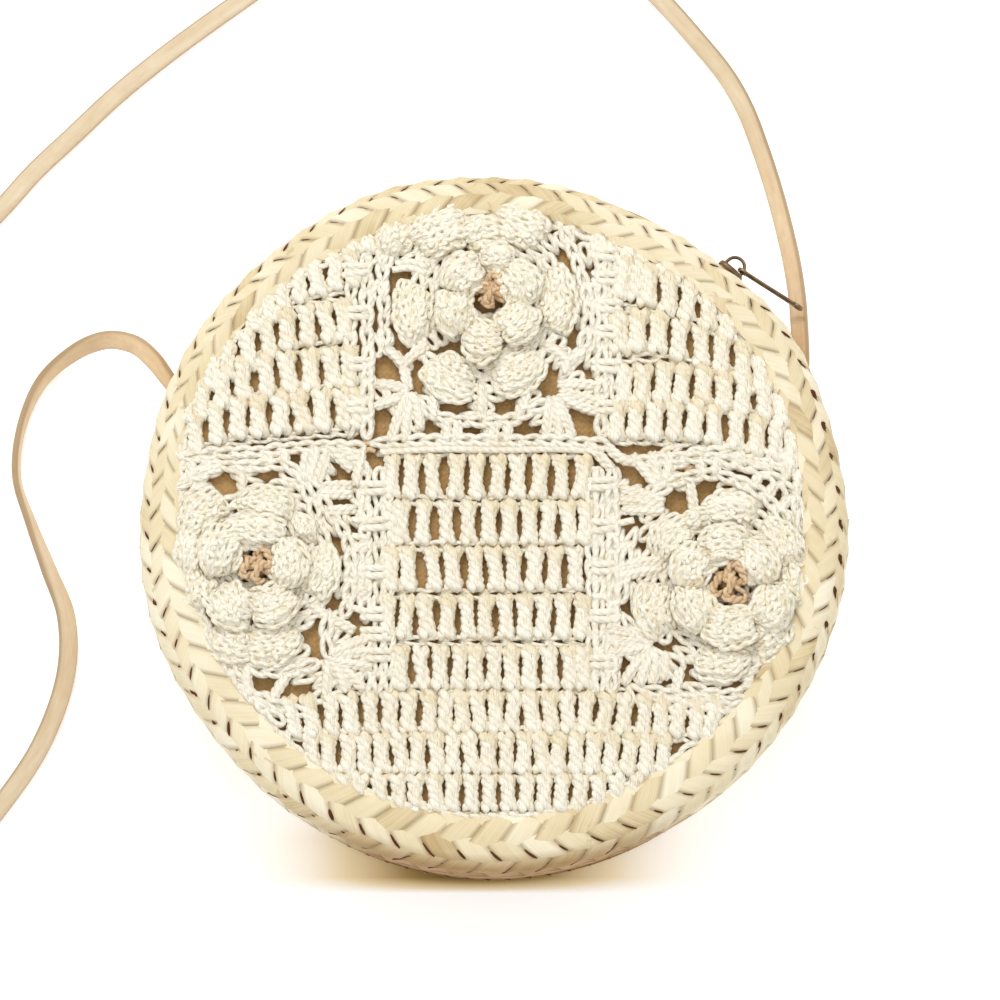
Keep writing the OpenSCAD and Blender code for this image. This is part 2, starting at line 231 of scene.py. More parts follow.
# ------------------------------------------------------------------ materials
class Nodes:
    def __init__(self, name):
        self.m = bpy.data.materials.new(name)
        self.m.use_nodes = True
        self.t = self.m.node_tree
        self.t.nodes.clear()
        self.out = self.t.nodes.new("ShaderNodeOutputMaterial")
        self.b = self.t.nodes.new("ShaderNodeBsdfPrincipled")
        self.t.links.new(self.b.outputs[0], self.out.inputs[0])

    def node(self, kind, **props):
        n = self.t.nodes.new(kind)
        for k, v in props.items():
            setattr(n, k, v)
        return n

    def link(self, a, b):
        self.t.links.new(a, b)
        return self

    def val(self, sock, x):
        if isinstance(x, (int, float, tuple, list)):
            sock.default_value = x
        else:
            self.t.links.new(x, sock)

    def math(self, op, a, b=None, clamp=False):
        n = self.node("ShaderNodeMath", operation=op, use_clamp=clamp)
        self.val(n.inputs[0], a)
        if b is not None:
            self.val(n.inputs[1], b)
        return n.outputs[0]

    def noise(self, vec, scale, detail=3.0, rough=0.55, dist=0.0):
        n = self.node("ShaderNodeTexNoise")
        if vec is not None:
            self.link(vec, n.inputs["Vector"])
        n.inputs["Scale"].default_value = scale
        n.inputs["Detail"].default_value = detail
        n.inputs["Roughness"].default_value = rough
        n.inputs["Distortion"].default_value = dist
        return n.outputs["Fac"]

    def ramp(self, fac, stops):
        n = self.node("ShaderNodeValToRGB")
        while len(n.color_ramp.elements) > 1:
            n.color_ramp.elements.remove(n.color_ramp.elements[-1])
        n.color_ramp.elements[0].position, n.color_ramp.elements[0].color = stops[0][0], (*stops[0][1], 1)
        for pos, col in stops[1:]:
            e = n.color_ramp.elements.new(pos)
            e.color = (*col, 1)
        self.val(n.inputs[0], fac)
        return n.outputs[0]

    def mix(self, fac, a, b, blend="MIX"):
        n = self.node("ShaderNodeMix", data_type="RGBA", blend_type=blend)
        self.val(n.inputs[0], fac)
        for s, x in ((n.inputs[6], a), (n.inputs[7], b)):
            if isinstance(x, (tuple, list)):
                s.default_value = (*x, 1)
            else:
                self.link(x, s)
        return n.outputs[2]

    def coord(self, which="Object"):
        return self.node("ShaderNodeTexCoord").outputs[which]

    def uv(self):
        return self.node("ShaderNodeUVMap", uv_map="UVMap").outputs[0]

    def attr(self, name):
        return self.node("ShaderNodeAttribute", attribute_type="GEOMETRY", attribute_name=name).outputs["Fac"]

    def scaled(self, vec, s, loc=(0, 0, 0)):
        n = self.node("ShaderNodeMapping")
        self.link(vec, n.inputs[0])
        n.inputs["Scale"].default_value = s
        n.inputs["Location"].default_value = loc
        return n.outputs[0]

    def bump(self, height, strength, distance, below=None):
        n = self.node("ShaderNodeBump")
        self.val(n.inputs["Height"], height)
        n.inputs["Strength"].default_value = strength
        n.inputs["Distance"].default_value = distance
        if below is not None:
            self.link(below, n.inputs["Normal"])
        return n.outputs[0]

    def sep(self, vec):
        n = self.node("ShaderNodeSeparateXYZ")
        self.link(vec, n.inputs[0])
        return n.outputs

    def end(self, color, rough, bump=None, metal=0.0, spec=0.5, sheen=0.0, sheen_tint=(1, 1, 1), coat=0.0, coat_rough=0.2):
        b = self.b
        if isinstance(color, (tuple, list)):
            b.inputs["Base Color"].default_value = (*color, 1)
        else:
            self.link(color, b.inputs["Base Color"])
        self.val(b.inputs["Roughness"], rough)
        b.inputs["Metallic"].default_value = metal
        b.inputs["Specular IOR Level"].default_value = spec
        b.inputs["Sheen Weight"].default_value = sheen
        b.inputs["Sheen Tint"].default_value = (*sheen_tint, 1)
        b.inputs["Coat Weight"].default_value = coat
        b.inputs["Coat Roughness"].default_value = coat_rough
        if bump is not None:
            self.link(bump, b.inputs["Normal"])
        return self.m


def yarn_material(name, light, mid, dark, under_shade, plies=3.0):
    """Twisted cotton yarn. The UV runs along the strand in cm and once round it."""
    s = Nodes(name)
    obj, uv = s.coord(), s.uv()
    u, v, _ = s.sep(uv)
    lines = s.math("ADD", s.math("MULTIPLY", u, 4.2), s.math("MULTIPLY", v, plies))
    ply = s.math("SINE", s.math("MULTIPLY", lines, TAU))
    fibre = s.math("SINE", s.math("MULTIPLY", s.math("ADD", s.math("MULTIPLY", u, 15.0), s.math("MULTIPLY", v, plies * 4)), TAU))
    fuzz = s.noise(obj, 1500, 4, 0.6)
    soft = s.noise(obj, 320, 3, 0.6)
    wide = s.noise(obj, 28, 2, 0.5)
    tint = s.attr("tint")
    fac = s.math("ADD", s.math("MULTIPLY", soft, 0.55), s.math("MULTIPLY", wide, 0.25))
    fac = s.math("ADD", fac, s.math("MULTIPLY", tint, 0.30))
    # painted shade: a little darker in the grooves between the plies
    fac = s.math("ADD", fac, s.math("MULTIPLY", ply, 0.07), clamp=True)
    col = s.ramp(fac, [(0.22, dark), (0.46, mid), (0.72, light)])
    # painted shade: the under side of each strand, given by the edge value, is mixed towards a darker, warmer colour
    col = s.mix(s.math("MULTIPLY", s.attr("edge"), 0.62), col, under_shade)
    h = s.math("ADD", s.math("MULTIPLY", ply, 0.5), s.math("MULTIPLY", fibre, 0.12))
    b1 = s.bump(h, 0.75, 0.00045)
    b2 = s.bump(fuzz, 0.55, 0.0005, b1)
    b3 = s.bump(soft, 0.5, 0.0009, b2)
    return s.end(col, 0.92, b3, spec=0.18, sheen=0.12, sheen_tint=(1.0, 0.97, 0.88))


def leaf_material(name, stops, seam=0.35):
    """Dry palm leaf. The UV runs along the strip in cm, and across it from -0.5 to 0.5."""
    s = Nodes(name)
    obj, uv = s.coord(), s.uv()
    tint = s.attr("tint")
    u, v, _ = s.sep(uv)
    off = s.math("MULTIPLY", tint, 37.0)
    comb = s.node("ShaderNodeCombineXYZ")
    s.link(s.math("MULTIPLY", u, 0.35), comb.inputs[0])
    s.link(s.math("MULTIPLY", v, 26.0), comb.inputs[1])
    s.link(off, comb.inputs[2])
    streak = s.noise(comb.outputs[0], 1.0, 4, 0.62)
    comb2 = s.node("ShaderNodeCombineXYZ")
    s.link(s.math("MULTIPLY", u, 0.12), comb2.inputs[0])
    s.link(s.math("MULTIPLY", v, 70.0), comb2.inputs[1])
    s.link(off, comb2.inputs[2])
    fine = s.noise(comb2.outputs[0], 1.0, 2, 0.5)
    patch = s.noise(obj, 55, 3, 0.6, 0.4)
    fac = s.math("ADD", s.math("MULTIPLY", streak, 0.42), s.math("MULTIPLY", patch, 0.38))
    fac = s.math("ADD", fac, s.math("MULTIPLY", tint, 0.42))
    col = s.ramp(s.math("SUBTRACT", fac, 0.12, clamp=True), stops)
    mark = s.math("GREATER_THAN", s.noise(obj, 130, 3, 0.7, 1.0), 0.69)
    col = s.mix(s.math("MULTIPLY", mark, 0.35), col, (0.42, 0.28, 0.12))
    edge = s.attr("edge")
    col = s.mix(s.math("MULTIPLY", edge, seam), col, (0.34, 0.22, 0.09))
    # painted shade: browner along the lowest part of the outline and low down on the band, standing in for the contact
    # shadow and the shading where the bag faces down
    px, py, pz = s.sep(obj)
    far = s.math("SQRT", s.math("ADD", s.math("MULTIPLY", px, px), s.math("MULTIPLY", py, py)))
    down = s.math("DIVIDE", s.math("SUBTRACT", s.math("DIVIDE", s.math("MULTIPLY", py, -1.0), s.math("MAXIMUM", far, 0.001)), 0.82), 0.13, clamp=True)
    bottom_shade = s.math("MULTIPLY", down, s.math("DIVIDE", s.math("SUBTRACT", s.math("ADD", far, s.math("MULTIPLY", patch, 0.002)), 0.1036), 0.0046, clamp=True))
    foot = s.math("MULTIPLY", s.math("DIVIDE", s.math("SUBTRACT", 0.0715, pz), 0.017, clamp=True), s.math("DIVIDE", s.math("SUBTRACT", far, 0.0950), 0.004, clamp=True))
    bottom_shade = s.math("MAXIMUM", bottom_shade, s.math("MULTIPLY", down, foot))
    col = s.mix(s.math("MULTIPLY", bottom_shade, 0.94), col, (0.50, 0.34, 0.17), "MULTIPLY")
    h = s.math("ADD", s.math("MULTIPLY", streak, 0.6), s.math("MULTIPLY", fine, 0.5))
    b1 = s.bump(h, 0.55, 0.00035)
    b2 = s.bump(patch, 0.35, 0.0012, b1)
    rough = s.math("ADD", s.math("MULTIPLY", streak, 0.25), 0.42)
    return s.end(col, rough, b2, spec=0.38, sheen=0.0)


def cloth_material(name, light, dark, count=1.1, rough=0.9):
    """Plain woven cloth; count is the number of threads per mm."""
    s = Nodes(name)
    obj = s.coord()
    x, y, z = s.sep(obj)
    k = count * 1000 * math.pi
    wx = s.math("SINE", s.math("MULTIPLY", x, k))
    wy = s.math("SINE", s.math("MULTIPLY", y, k))
    wz = s.math("SINE", s.math("MULTIPLY", z, k))
    weave = s.math("MULTIPLY", wx, s.math("ADD", wy, wz))
    n1 = s.noise(obj, 900, 3, 0.6)
    n2 = s.noise(obj, 24, 3, 0.5)
    fac = s.math("ADD", s.math("MULTIPLY", n2, 0.7), s.math("MULTIPLY", n1, 0.3))
    col = s.ramp(fac, [(0.35, dark), (0.65, light)])
    b1 = s.bump(weave, 0.5, 0.00025)
    b2 = s.bump(n1, 0.4, 0.0003, b1)
    b3 = s.bump(n2, 0.3, 0.003, b2)
    return s.end(col, rough, b3, spec=0.2, sheen=0.1)


def leather_material():
    s = Nodes("natural_leather")
    obj, uv = s.coord(), s.uv()
    tint, edge = s.attr("tint"), s.attr("edge")
    cell = s.node("ShaderNodeTexVoronoi", feature="DISTANCE_TO_EDGE")
    s.link(obj, cell.inputs["Vector"])
    cell.inputs["Scale"].default_value = 1400
    pores = s.noise(obj, 2200, 2, 0.5)
    wide = s.noise(s.scaled(uv, (0.5, 2.0, 1)), 1.2, 4, 0.6)
    fleck = s.noise(obj, 160, 3, 0.6)
    fac = s.math("ADD", s.math("MULTIPLY", wide, 0.55), s.math("MULTIPLY", fleck, 0.25))
    pale = s.ramp(fac, [(0.25, (0.67, 0.52, 0.335)), (0.45, (0.745, 0.63, 0.45)), (0.62, (0.81, 0.72, 0.56))])
    orange = s.ramp(fac, [(0.25, (0.60, 0.34, 0.13)), (0.45, (0.72, 0.46, 0.21)), (0.62, (0.80, 0.57, 0.31))])
    col = s.mix(tint, pale, orange)
    col = s.mix(s.math("MULTIPLY", edge, 0.75), col, (0.30, 0.185, 0.085))
    b1 = s.bump(cell.outputs["Distance"], 0.25, 0.0002)
    b2 = s.bump(pores, 0.3, 0.0002, b1)
    rough = s.math("ADD", s.math("MULTIPLY", wide, 0.2), 0.38)
    return s.end(col, rough, b2, spec=0.42, coat=0.08, coat_rough=0.35)


def bronze_material():
    s = Nodes("antique_bronze")
    obj = s.coord()
    n1 = s.noise(obj, 260, 4, 0.6)
    n2 = s.noise(obj, 1600, 3, 0.6)
    geo = s.node("ShaderNodeNewGeometry")
    worn = s.math("MULTIPLY", s.math("SUBTRACT", geo.outputs["Pointiness"], 0.52, clamp=True), 6.0, clamp=True)
    fac = s.math("ADD", s.math("MULTIPLY", n1, 0.8), s.math("MULTIPLY", worn, 0.5), clamp=True)
    col = s.ramp(fac, [(0.3, (0.13, 0.08, 0.042)), (0.55, (0.28, 0.19, 0.11)), (0.85, (0.50, 0.38, 0.25))])
    rough = s.math("ADD", s.math("MULTIPLY", n2, 0.3), 0.28)
    b = s.bump(n2, 0.25, 0.0002)
    return s.end(col, rough, b, metal=0.75, spec=0.5)


def plain_dark(name, col):
    s = Nodes(name)
    n = s.noise(s.coord(), 400, 3, 0.6)
    return s.end(s.ramp(n, [(0.35, tuple(c * 0.6 for c in col)), (0.65, col)]), 0.95, s.bump(n, 0.4, 0.0004), spec=0.1)


COTTON = yarn_material("cotton_yarn", (0.975, 0.935, 0.82), (0.935, 0.875, 0.735), (0.82, 0.715, 0.50), (0.80, 0.665, 0.40))
PETAL = yarn_material("petal_yarn", (1.0, 0.96, 0.83), (0.965, 0.90, 0.735), (0.85, 0.73, 0.46), (0.80, 0.64, 0.31))
PEACH = yarn_material("tan_yarn", (0.86, 0.66, 0.43), (0.76, 0.53, 0.31), (0.50, 0.30, 0.14), (0.55, 0.32, 0.14))
LEAF = leaf_material("palm_leaf", [(0.20, (0.51, 0.36, 0.17)), (0.36, (0.71, 0.59, 0.36)), (0.52, (0.80, 0.695, 0.47)), (0.74, (0.885, 0.825, 0.65))], seam=0.5)
# a darker, more amber copy of the palm leaf for the band, the back and their seams: partly the leaf's own amber tone,
# partly painted shade where these face down and away from the light
LEAF_BAND_SHADED = leaf_material("palm_leaf_band_shaded", [(0.20, (0.36, 0.20, 0.08)), (0.36, (0.55, 0.37, 0.17)), (0.54, (0.71, 0.54, 0.30)), (0.78, (0.83, 0.70, 0.46))])
LINING = cloth_material("lining_cloth", (0.58, 0.37, 0.165), (0.45, 0.275, 0.105))
TAPE = cloth_material("zip_tape_cloth", (0.42, 0.27, 0.15), (0.33, 0.2, 0.1), 1.6)
LEATHER = leather_material()
BRONZE = bronze_material()
# painted shadow: a near-black brown for the dark pieces in the plait's openings and along the rim seam
PAINTED_SHADOW = plain_dark("seam_shadow", (0.13, 0.045, 0.018))

# ------------------------------------------------------------------ strap
ROUTE = np.array([
    [98, 25, 38.9, 90], [96.5, 30, 38.9, 90], [95, 35.5, 38.9, 86], [94.8, 41, 38.9, 78],
    [95.3, 47, 38.6, 66], [96, 53, 38.2, 56], [96, 60, 36.6, 48], [96, 68, 33.2, 46],
    [96, 76, 29.2, 46], [95.6, 85, 24, 45], [94.9, 95, 17, 44], [93.8, 105, 10, 43],
    [92.3, 115, 4.5, 42], [90.2, 125, 1, 41], [87, 136, 0.1, 40], [82.4, 149, 0.1, 38],
    [76, 161, 0.1, 36], [66, 174, 0.1, 34], [55, 187, 0.1, 32], [42, 200, 0.1, 30],
    [26, 211, 0.1, 28], [8, 218, 0.1, 27], [-12, 220, 0.1, 26], [-32, 217, 0.1, 25],
    [-51, 209, 0.1, 24], [-67, 199, 0.1, 23], [-83, 187, 0.1, 22], [-95, 178, 0.1, 21],
    [-109, 167, 0.1, 20], [-124, 154, 0.1, 20], [-138, 140, 0.1, 20], [-150, 128, 0.1, 20],
    [-161, 115, 0.1, 20], [-178, 97, 0.1, 18], [-196, 77, 0.1, 16], [-213, 54, 0.1, 13],
    [-228, 28, 0.1, 10], [-239, 0, 0.1, 7], [-246, -29, 0.1, 4], [-248, -58, 0.1, 0],
    [-244, -87, 0.1, -4], [-234, -110, 0.1, -8], [-219, -125, 0.1, -13], [-202, -128, 0.1, -17],
    [-186, -117, 0.1, -20], [-171, -99, 0.1, -23], [-155, -79, 0.1, -25], [-143, -60, 0.1, -28],
    [-136, -39, 0.1, -32], [-136, -20, 0.1, -38], [-142, -4, 0.1, -55], [-148, 11, 0.1, -74],
    [-153, 26, 0.1, -86], [-152, 42, 0.1, -88], [-146, 57, 0.1, -76], [-135, 66, 4, -60],
    [-124, 68, 13, -48], [-114, 64, 24, -42], [-107, 57, 33, -42], [-102, 50, 37.6, -52],
    [-98.5, 45, 38.6, -64], [-96.3, 40, 38.9, -76], [-95.5, 35, 38.9, -86],
    [-96.3, 30, 38.9, -90], [-98, 25, 38.9, -90]])
STRAP_W, STRAP_T = 6.2, 2.2
roll = np.radians(ROUTE[:, 3])
lift = np.abs(np.sin(roll)) * STRAP_W / 2 + np.abs(np.cos(roll)) * STRAP_T / 2
line4 = smooth_path(np.column_stack([ROUTE[:, 0], ROUTE[:, 1], ROUTE[:, 2] + lift, ROUTE[:, 3]]), 8)
line4 = resample(line4, 1.8)
centre, roll = line4[:, :3], np.radians(line4[:, 3])
tan = norm(np.gradient(centre, axis=0))
right = norm(np.stack([tan[:, 1], -tan[:, 0], 0 * tan[:, 0]], -1))
above = np.cross(right, tan)
wide = np.cos(roll)[:, None] * right + np.sin(roll)[:, None] * above
thick = np.cos(roll)[:, None] * above - np.sin(roll)[:, None] * right
SECTION = np.array([(-2.45, 1.08), (-1.2, 1.1), (0, 1.1), (1.2, 1.1), (2.45, 1.08), (2.9, 0.86), (3.1, 0.4), (3.1, -0.4), (2.9, -0.86),
                    (2.45, -1.08), (1.2, -1.1), (0, -1.1), (-1.2, -1.1), (-2.45, -1.08), (-2.9, -0.86), (-3.1, -0.4), (-3.1, 0.4), (-2.9, 0.86)])
EDGE = np.array([0.16, 0, 0, 0, 0.16, 0.85, 1, 1, 0.85, 0.16, 0, 0, 0, 0.12, 0.8, 1, 1, 0.8])
rings = centre[:, None] + SECTION[None, :, :1] * wide[:, None] + SECTION[None, :, 1:] * thick[:, None]
along = np.concatenate([[0], np.cumsum(np.linalg.norm(np.diff(centre, axis=0), axis=1))])
uv = np.stack([np.broadcast_to(along[:, None] / 10, rings.shape[:2]), np.broadcast_to(SECTION[None, :, 0] / 6.2, rings.shape[:2])], -1)
tint = np.clip(1.0 - np.minimum(along / 150, (along[-1] - along) / 150), 0, 1) * 0.8 + 0.06
b = Build()
b.loft(rings, uv=uv, tint=np.repeat(tint, len(SECTION)), edge=np.tile(EDGE, len(centre)))
strap = b.done("strap_leather", LEATHER)
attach(strap, "root")
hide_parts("strap")


# ------------------------------------------------------------------ shared shapes of the bag
def cad_band_r(z):
    z = np.asarray(z, float)
    return np.where(z < 42, 103.5 + 6 * (1 - ((42 - z) / 39.6) ** 2), 105 + 4.5 * (1 - ((z - 42) / 31.4) ** 2))


def near_deg(th, at, wide_):
    """1 where the angle th (radians, clockwise from the top) is at degrees, fading over wide_ degrees."""
    d = (np.degrees(th) - at + 180) % 360 - 180
    return np.exp(-(d / wide_) ** 2)


def edge_in(th):
    """How far the real outline lies inside the plain circle, in mm."""
    wob = 0.35 * np.sin(5 * th + 1.0) + 0.25 * np.sin(9 * th + 2.2)
    return 2.3 * near_deg(th, 42, 10) + 0.9 * near_deg(th, 76, 14) + 0.5 * near_deg(th, 232, 14) + 1.0 * near_deg(th, 276, 18) + wob * 0.6


def flat_in(th):
    """How far the ring lies further inside where the photo shows it flattened, in mm."""
    return 3.4 * near_deg(th, 24, 11) + 0.9 * near_deg(th, 4, 12) + 0.7 * near_deg(th, 320, 14)


def upper_in(th, z):
    """How far the top of the band follows the flattened ring, in mm."""
    return flat_in(th) * 0.9 * np.clip((np.asarray(z, float) - 55) / 17, 0, 1)


def crochet_out(th):
    """How far the crochet reaches out past its plain circle, in mm."""
    return 3.5 * near_deg(th, 288, 17) + 1.5 * near_deg(th, 313, 16) - 2.0 * near_deg(th, 25, 13)


def foot_in(th, z):
    """How much less full than elsewhere the band is at the bottom of the bag, in mm."""
    low = near_deg(th, 180, 75)
    return 4.0 * low * np.clip((cad_band_r(z) - 103.5) / 6, 0, 1) + 0.8 * low * np.clip((42 - np.asarray(z, float)) / 30, 0, 1)


def band_r(th, z):
    return cad_band_r(z) - 1.0 - foot_in(th, z) - edge_in(th) * 0.9 - upper_in(th, z)


def band_pt(th, z, h):
    r = band_r(th, z) + h
    return np.stack([r * np.sin(th), r * np.cos(th), z + 0 * r], -1)


# Profile of the front ring, from the crochet's edge outwards and down over the corner.
RING_PROFILE = smooth_path([(92.9, 75.2), (94.4, 75.95), (97, 76.3), (99.6, 76.15), (101.8, 75.6), (103.6, 74.7), (105.0, 73.4), (105.9, 71.8),
                            (106.4, 70.0), (106.5, 68.5)], 6)
_d = np.concatenate([[0], np.cumsum(np.linalg.norm(np.diff(RING_PROFILE, axis=0), axis=1))])
RING_T = float(_d[-1])


def ring_pt(th, t, h):
    r = np.interp(t, _d, RING_PROFILE[:, 0])
    z = np.interp(t, _d, RING_PROFILE[:, 1])
    dr = np.interp(t + 0.2, _d, RING_PROFILE[:, 0]) - np.interp(t - 0.2, _d, RING_PROFILE[:, 0])
    dz = np.interp(t + 0.2, _d, RING_PROFILE[:, 1]) - np.interp(t - 0.2, _d, RING_PROFILE[:, 1])
    ln = np.maximum(np.hypot(dr, dz), 1e-6)
    r = r - dz / ln * h - (edge_in(th) + flat_in(th)) * np.clip((t - 2) / 8, 0, 1) - 2.3 * near_deg(th, 195, 60) * np.clip(1 - t / 8, 0, 1)
    r = r + crochet_out(th) * np.clip(1 - t / 10, 0, 1)
    r = r + (0.85 * (1 - np.abs(np.sin(TEETH / 2 * th))) ** 1.4 - 0.2) * np.clip((t - 9) / 4, 0, 1)
    r = r + 0.9 * near_deg(th, 180, 55) * np.clip((t - 7) / 8, 0, 1)
    z = z + dr / ln * h
    return np.stack([r * np.sin(th), r * np.cos(th), z], -1)


TEETH = 64


def plait(build, surf, r_ref, pitch, t0, t1, t_row, th0=None, th1=None, amp=0.45, wide_f=1.04, leaf=0.34,
          keep=None, tint=(0.5, 0.22), per=1.0, mat=0, seed=0):
    """Strips at 45 degrees both ways over a surface surf(theta, t, h), woven one over one. t_row is a height where strips cross."""
    g = np.random.default_rng(seed)
    w = pitch / math.sqrt(2) * wide_f
    full = th0 is None
    if full:
        count = int(round(TAU * r_ref / pitch))
        dth = TAU / count
    else:
        dth = pitch / r_ref
        count = int(math.ceil((th1 - th0) / dth)) + int(2 * (t1 - t0) / pitch) + 4
    nt = max(6, int((t1 - t0) / (pitch / 2) * 6) + 1)
    vs = np.array([-0.5, -0.3, 0, 0.3, 0.5])
    for fam in (1, -1):
        for i in range(count):
            base = (0 if full else math.floor((th0 - (t1 - t0) / r_ref - dth) / dth) * dth) + i * dth
            jit = g.normal(0, 0.012) * dth
            tt = np.linspace(t0 - w, t1 + w, nt)
            col = np.clip(g.normal(0, tint[1]) + (tint[0](base) if callable(tint[0]) else tint[0]), 0.02, 0.98)
            lean = g.normal(0, 0.10)
            up = g.normal(0, 0.05)
            # each line of the strip, at the distance v across, is cut at t0 and t1
            top, bot, uvs = [], [], []
            for v in vs:
                tv = np.clip(tt + 0 * v, t0, t1)
                q = (tv - t_row) / (pitch / 2)
                # centreline: theta grows with t for fam 1; the across direction moves (s, t) by v * w / sqrt2
                s_off = fam * (tv - t_row) + v * w * math.sqrt(2)
                th = base + jit + s_off * dth / pitch
                qc = q - fam * v * wide_f * 0  # height follows the crossing row
                ph = np.cos(math.pi * (q - 0.5 * 0))
                over = fam * np.sign(ph) * np.abs(ph) ** 0.55
                h = (amp(tv) if callable(amp) else amp) * over + up + lean * v + 0.16 * (1 - (2 * v) ** 2)
                top.append(np.stack([th, tv, h + leaf / 2], -1))
                bot.append(np.stack([th, tv, h - leaf / 2], -1))
                uvs.append(np.stack([tv * 1.414 / 10 + i * 1.7, np.full(len(tv), v)], -1))
            ring = np.stack(top + bot[::-1], 1)
            uvr = np.stack(uvs + uvs[::-1], 1)
            edge = np.concatenate([np.abs(vs) > 0.45, np.abs(vs[::-1]) > 0.45]) * 1.0
            ok = np.ones(len(ring), bool)
            if not full or keep is not None:
                cth, ct = ring[:, :, 0].mean(1), ring[:, :, 1].mean(1)
                if not full:
                    ok &= (ring[:, :, 0].max(1) > th0 + 1e-4) & (ring[:, :, 0].min(1) < th1 - 1e-4)
                if keep is not None:
                    ok &= keep(cth, ct)
            # runs of kept rings
            idx = np.flatnonzero(ok)
            if len(idx) < 2:
                continue
            for run in np.split(idx, np.flatnonzero(np.diff(idx) > 1) + 1):
                if len(run) < 2:
                    continue
                rr = ring[run]
                if not full:
                    rr = rr.copy()
                    rr[:, :, 0] = np.clip(rr[:, :, 0], th0, th1)
                if np.ptp(rr[:, :, 1]) < 0.5:
                    continue
                pts = surf(rr[:, :, 0], rr[:, :, 1], rr[:, :, 2])
                build.loft(pts, uv=uvr[run], tint=col, edge=np.tile(edge, len(run)), mat=mat)


def leaf_piece(name, build, mats, body, nodes):
    ob = build.done(name, mats)
    if body == "lip":
        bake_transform(ob)
    else:
        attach(ob, body)
    if nodes:
        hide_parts(*nodes)
    return ob


# ------------------------------------------------------------------ front ring
RP = TAU * 99.4 / TEETH  # strip pitch along the ring
T_A = RING_T - 4.2


def slit(build, surf, th, t, fam, size, g, mat=0):
    """A dark piece of painted shadow in the opening beside a crossing, along the edge of a strip of the family fam."""
    q = np.linspace(-1, 1, 9)
    ln = 2.3 * g.uniform(0.75, 1.3) * (0.6 + 0.4 * min(size, 1.7))
    c, d = math.cos(math.radians(37)), math.sin(math.radians(37))
    go = q * ln + 0.5 * ln
    half = 0.46 * size * g.uniform(0.6, 1.2) * np.sqrt(np.clip(1 - q * q, 0, 1)) + 0.015
    lines = []
    for k, h in ((-1, 0.5), (1, 0.5), (1, 0.05), (-1, 0.05)):
        s_ = fam * go * c - k * half * d
        lines.append(surf(th + s_ / 105, t + go * d + k * half * fam * c, h + 0 * q))
    build.loft(np.stack(lines, 1), tint=0.5, mat=mat)


b = Build()
# the strips' tint is lower towards the bottom of the ring, painted shade where it faces down, and lower near the top
plait(b, ring_pt, 99.4, RP, 0.3, RING_T, T_A, amp=lambda t: 0.13 + 0.30 * np.clip((t - 8) / 6, 0, 1), wide_f=1.02, leaf=0.3, seed=3,
      tint=(lambda th: 0.60 - 0.18 * near_deg(th, 180, 50) - 0.22 * near_deg(th, 5, 45), 0.24))
ring = leaf_piece("front_ring_plait", b, LEAF, "lip", ["front_ring", "front_ring_flap"])
g = np.random.default_rng(5)
eye_shadows = Build()
# painted shadow: dark pieces in the ring's openings, larger towards the bottom
for row, fam in ((0, 1), (1, -1)):
    for i in range(TEETH):
        thc = (i + 0.5 + 0.5 * row) * TAU / TEETH
        low = near_deg(thc, 190, 62) + 0.55 * near_deg(thc, 222, 24)
        if row == 0:
            size = 0.3 + low + 2.2 * near_deg(thc, 86, 31) + 0.5 * near_deg(thc, 138, 22) + 0.5 * near_deg(thc, 255, 40) + 0.4 * near_deg(thc, 318, 30)
        else:
            size = 0.6 * (0.3 + low) * (1 - 0.7 * near_deg(thc, 285, 45)) * (1 - 0.55 * near_deg(thc, 70, 45))
        inward = 0 if row else 2.2 * (1 - near_deg(thc, 180, 65))
        slit(eye_shadows, ring_pt, thc - inward / 99.4, T_A - row * RP / 2 - inward, fam, float(size), g)

# painted shadow: dark pieces in the openings between the folds, and a dark tube along the rim seam behind them
b = eye_shadows
th = np.linspace(0, TAU, 181)[:-1]
rr = 104.3 - edge_in(th) - flat_in(th)
pts = np.stack([rr * np.sin(th), rr * np.cos(th), np.full(180, 73.4)], -1)
tube(b, pts, 0.75, 6, closed=True)
rim = leaf_piece("rim_painted_shadow", b, PAINTED_SHADOW, "lip", ["rim_thread", "rim_thread_flap"])

# ------------------------------------------------------------------ band
BP = TAU * 107 / TEETH
ZIP_EDGE = math.radians(52)


def not_in_slit(th, z):
    x, y = 108 * np.sin(th), 108 * np.cos(th)
    near = (np.abs(z - 42) < 3.9) & (((np.hypot(x - 96, y - 50) < 7.5)) | (np.hypot(x + 99, y - 45) < 7.5))
    return ~near


b = Build()
Z_A = 68.5 + (RING_T - T_A) - RP / 2 - BP / 2
plait(b, band_pt, 107, BP, 2.6, 73.3, Z_A, th0=ZIP_EDGE, th1=TAU - ZIP_EDGE, amp=0.42, seed=7, tint=(0.45, 0.24), keep=not_in_slit)
# dark pieces of painted shadow in the openings of the band's plait
for row in range(-1, 11):
    for i in range(TEETH):
        thc = (i + 0.5 + 0.5 * (row % 2)) * TAU / TEETH
        if ZIP_EDGE + 0.08 < thc < TAU - ZIP_EDGE - 0.08:
            slit(b, band_pt, thc, Z_A - row * BP / 2, 1 if row % 2 else -1, 0.75, g, mat=1)
band = leaf_piece("side_band_plait", b, [LEAF_BAND_SHADED, PAINTED_SHADOW], "root", ["side_band"])

b = Build()
plait(b, band_pt, 107, BP, 50.4, 73.3, Z_A, th0=-ZIP_EDGE, th1=ZIP_EDGE, amp=0.42, seed=8, tint=(0.5, 0.24))
upper_front = leaf_piece("upper_strip_front_plait", b, LEAF_BAND_SHADED, "lip", ["upper_strip_front"])
b = Build()
plait(b, band_pt, 107, BP, 2.6, 33.6, Z_A - 4 * BP, th0=-ZIP_EDGE, th1=ZIP_EDGE, amp=0.42, seed=9, tint=(0.5, 0.24))
upper_back = leaf_piece("upper_strip_back_plait", b, LEAF_BAND_SHADED, "root", ["upper_strip_back"])

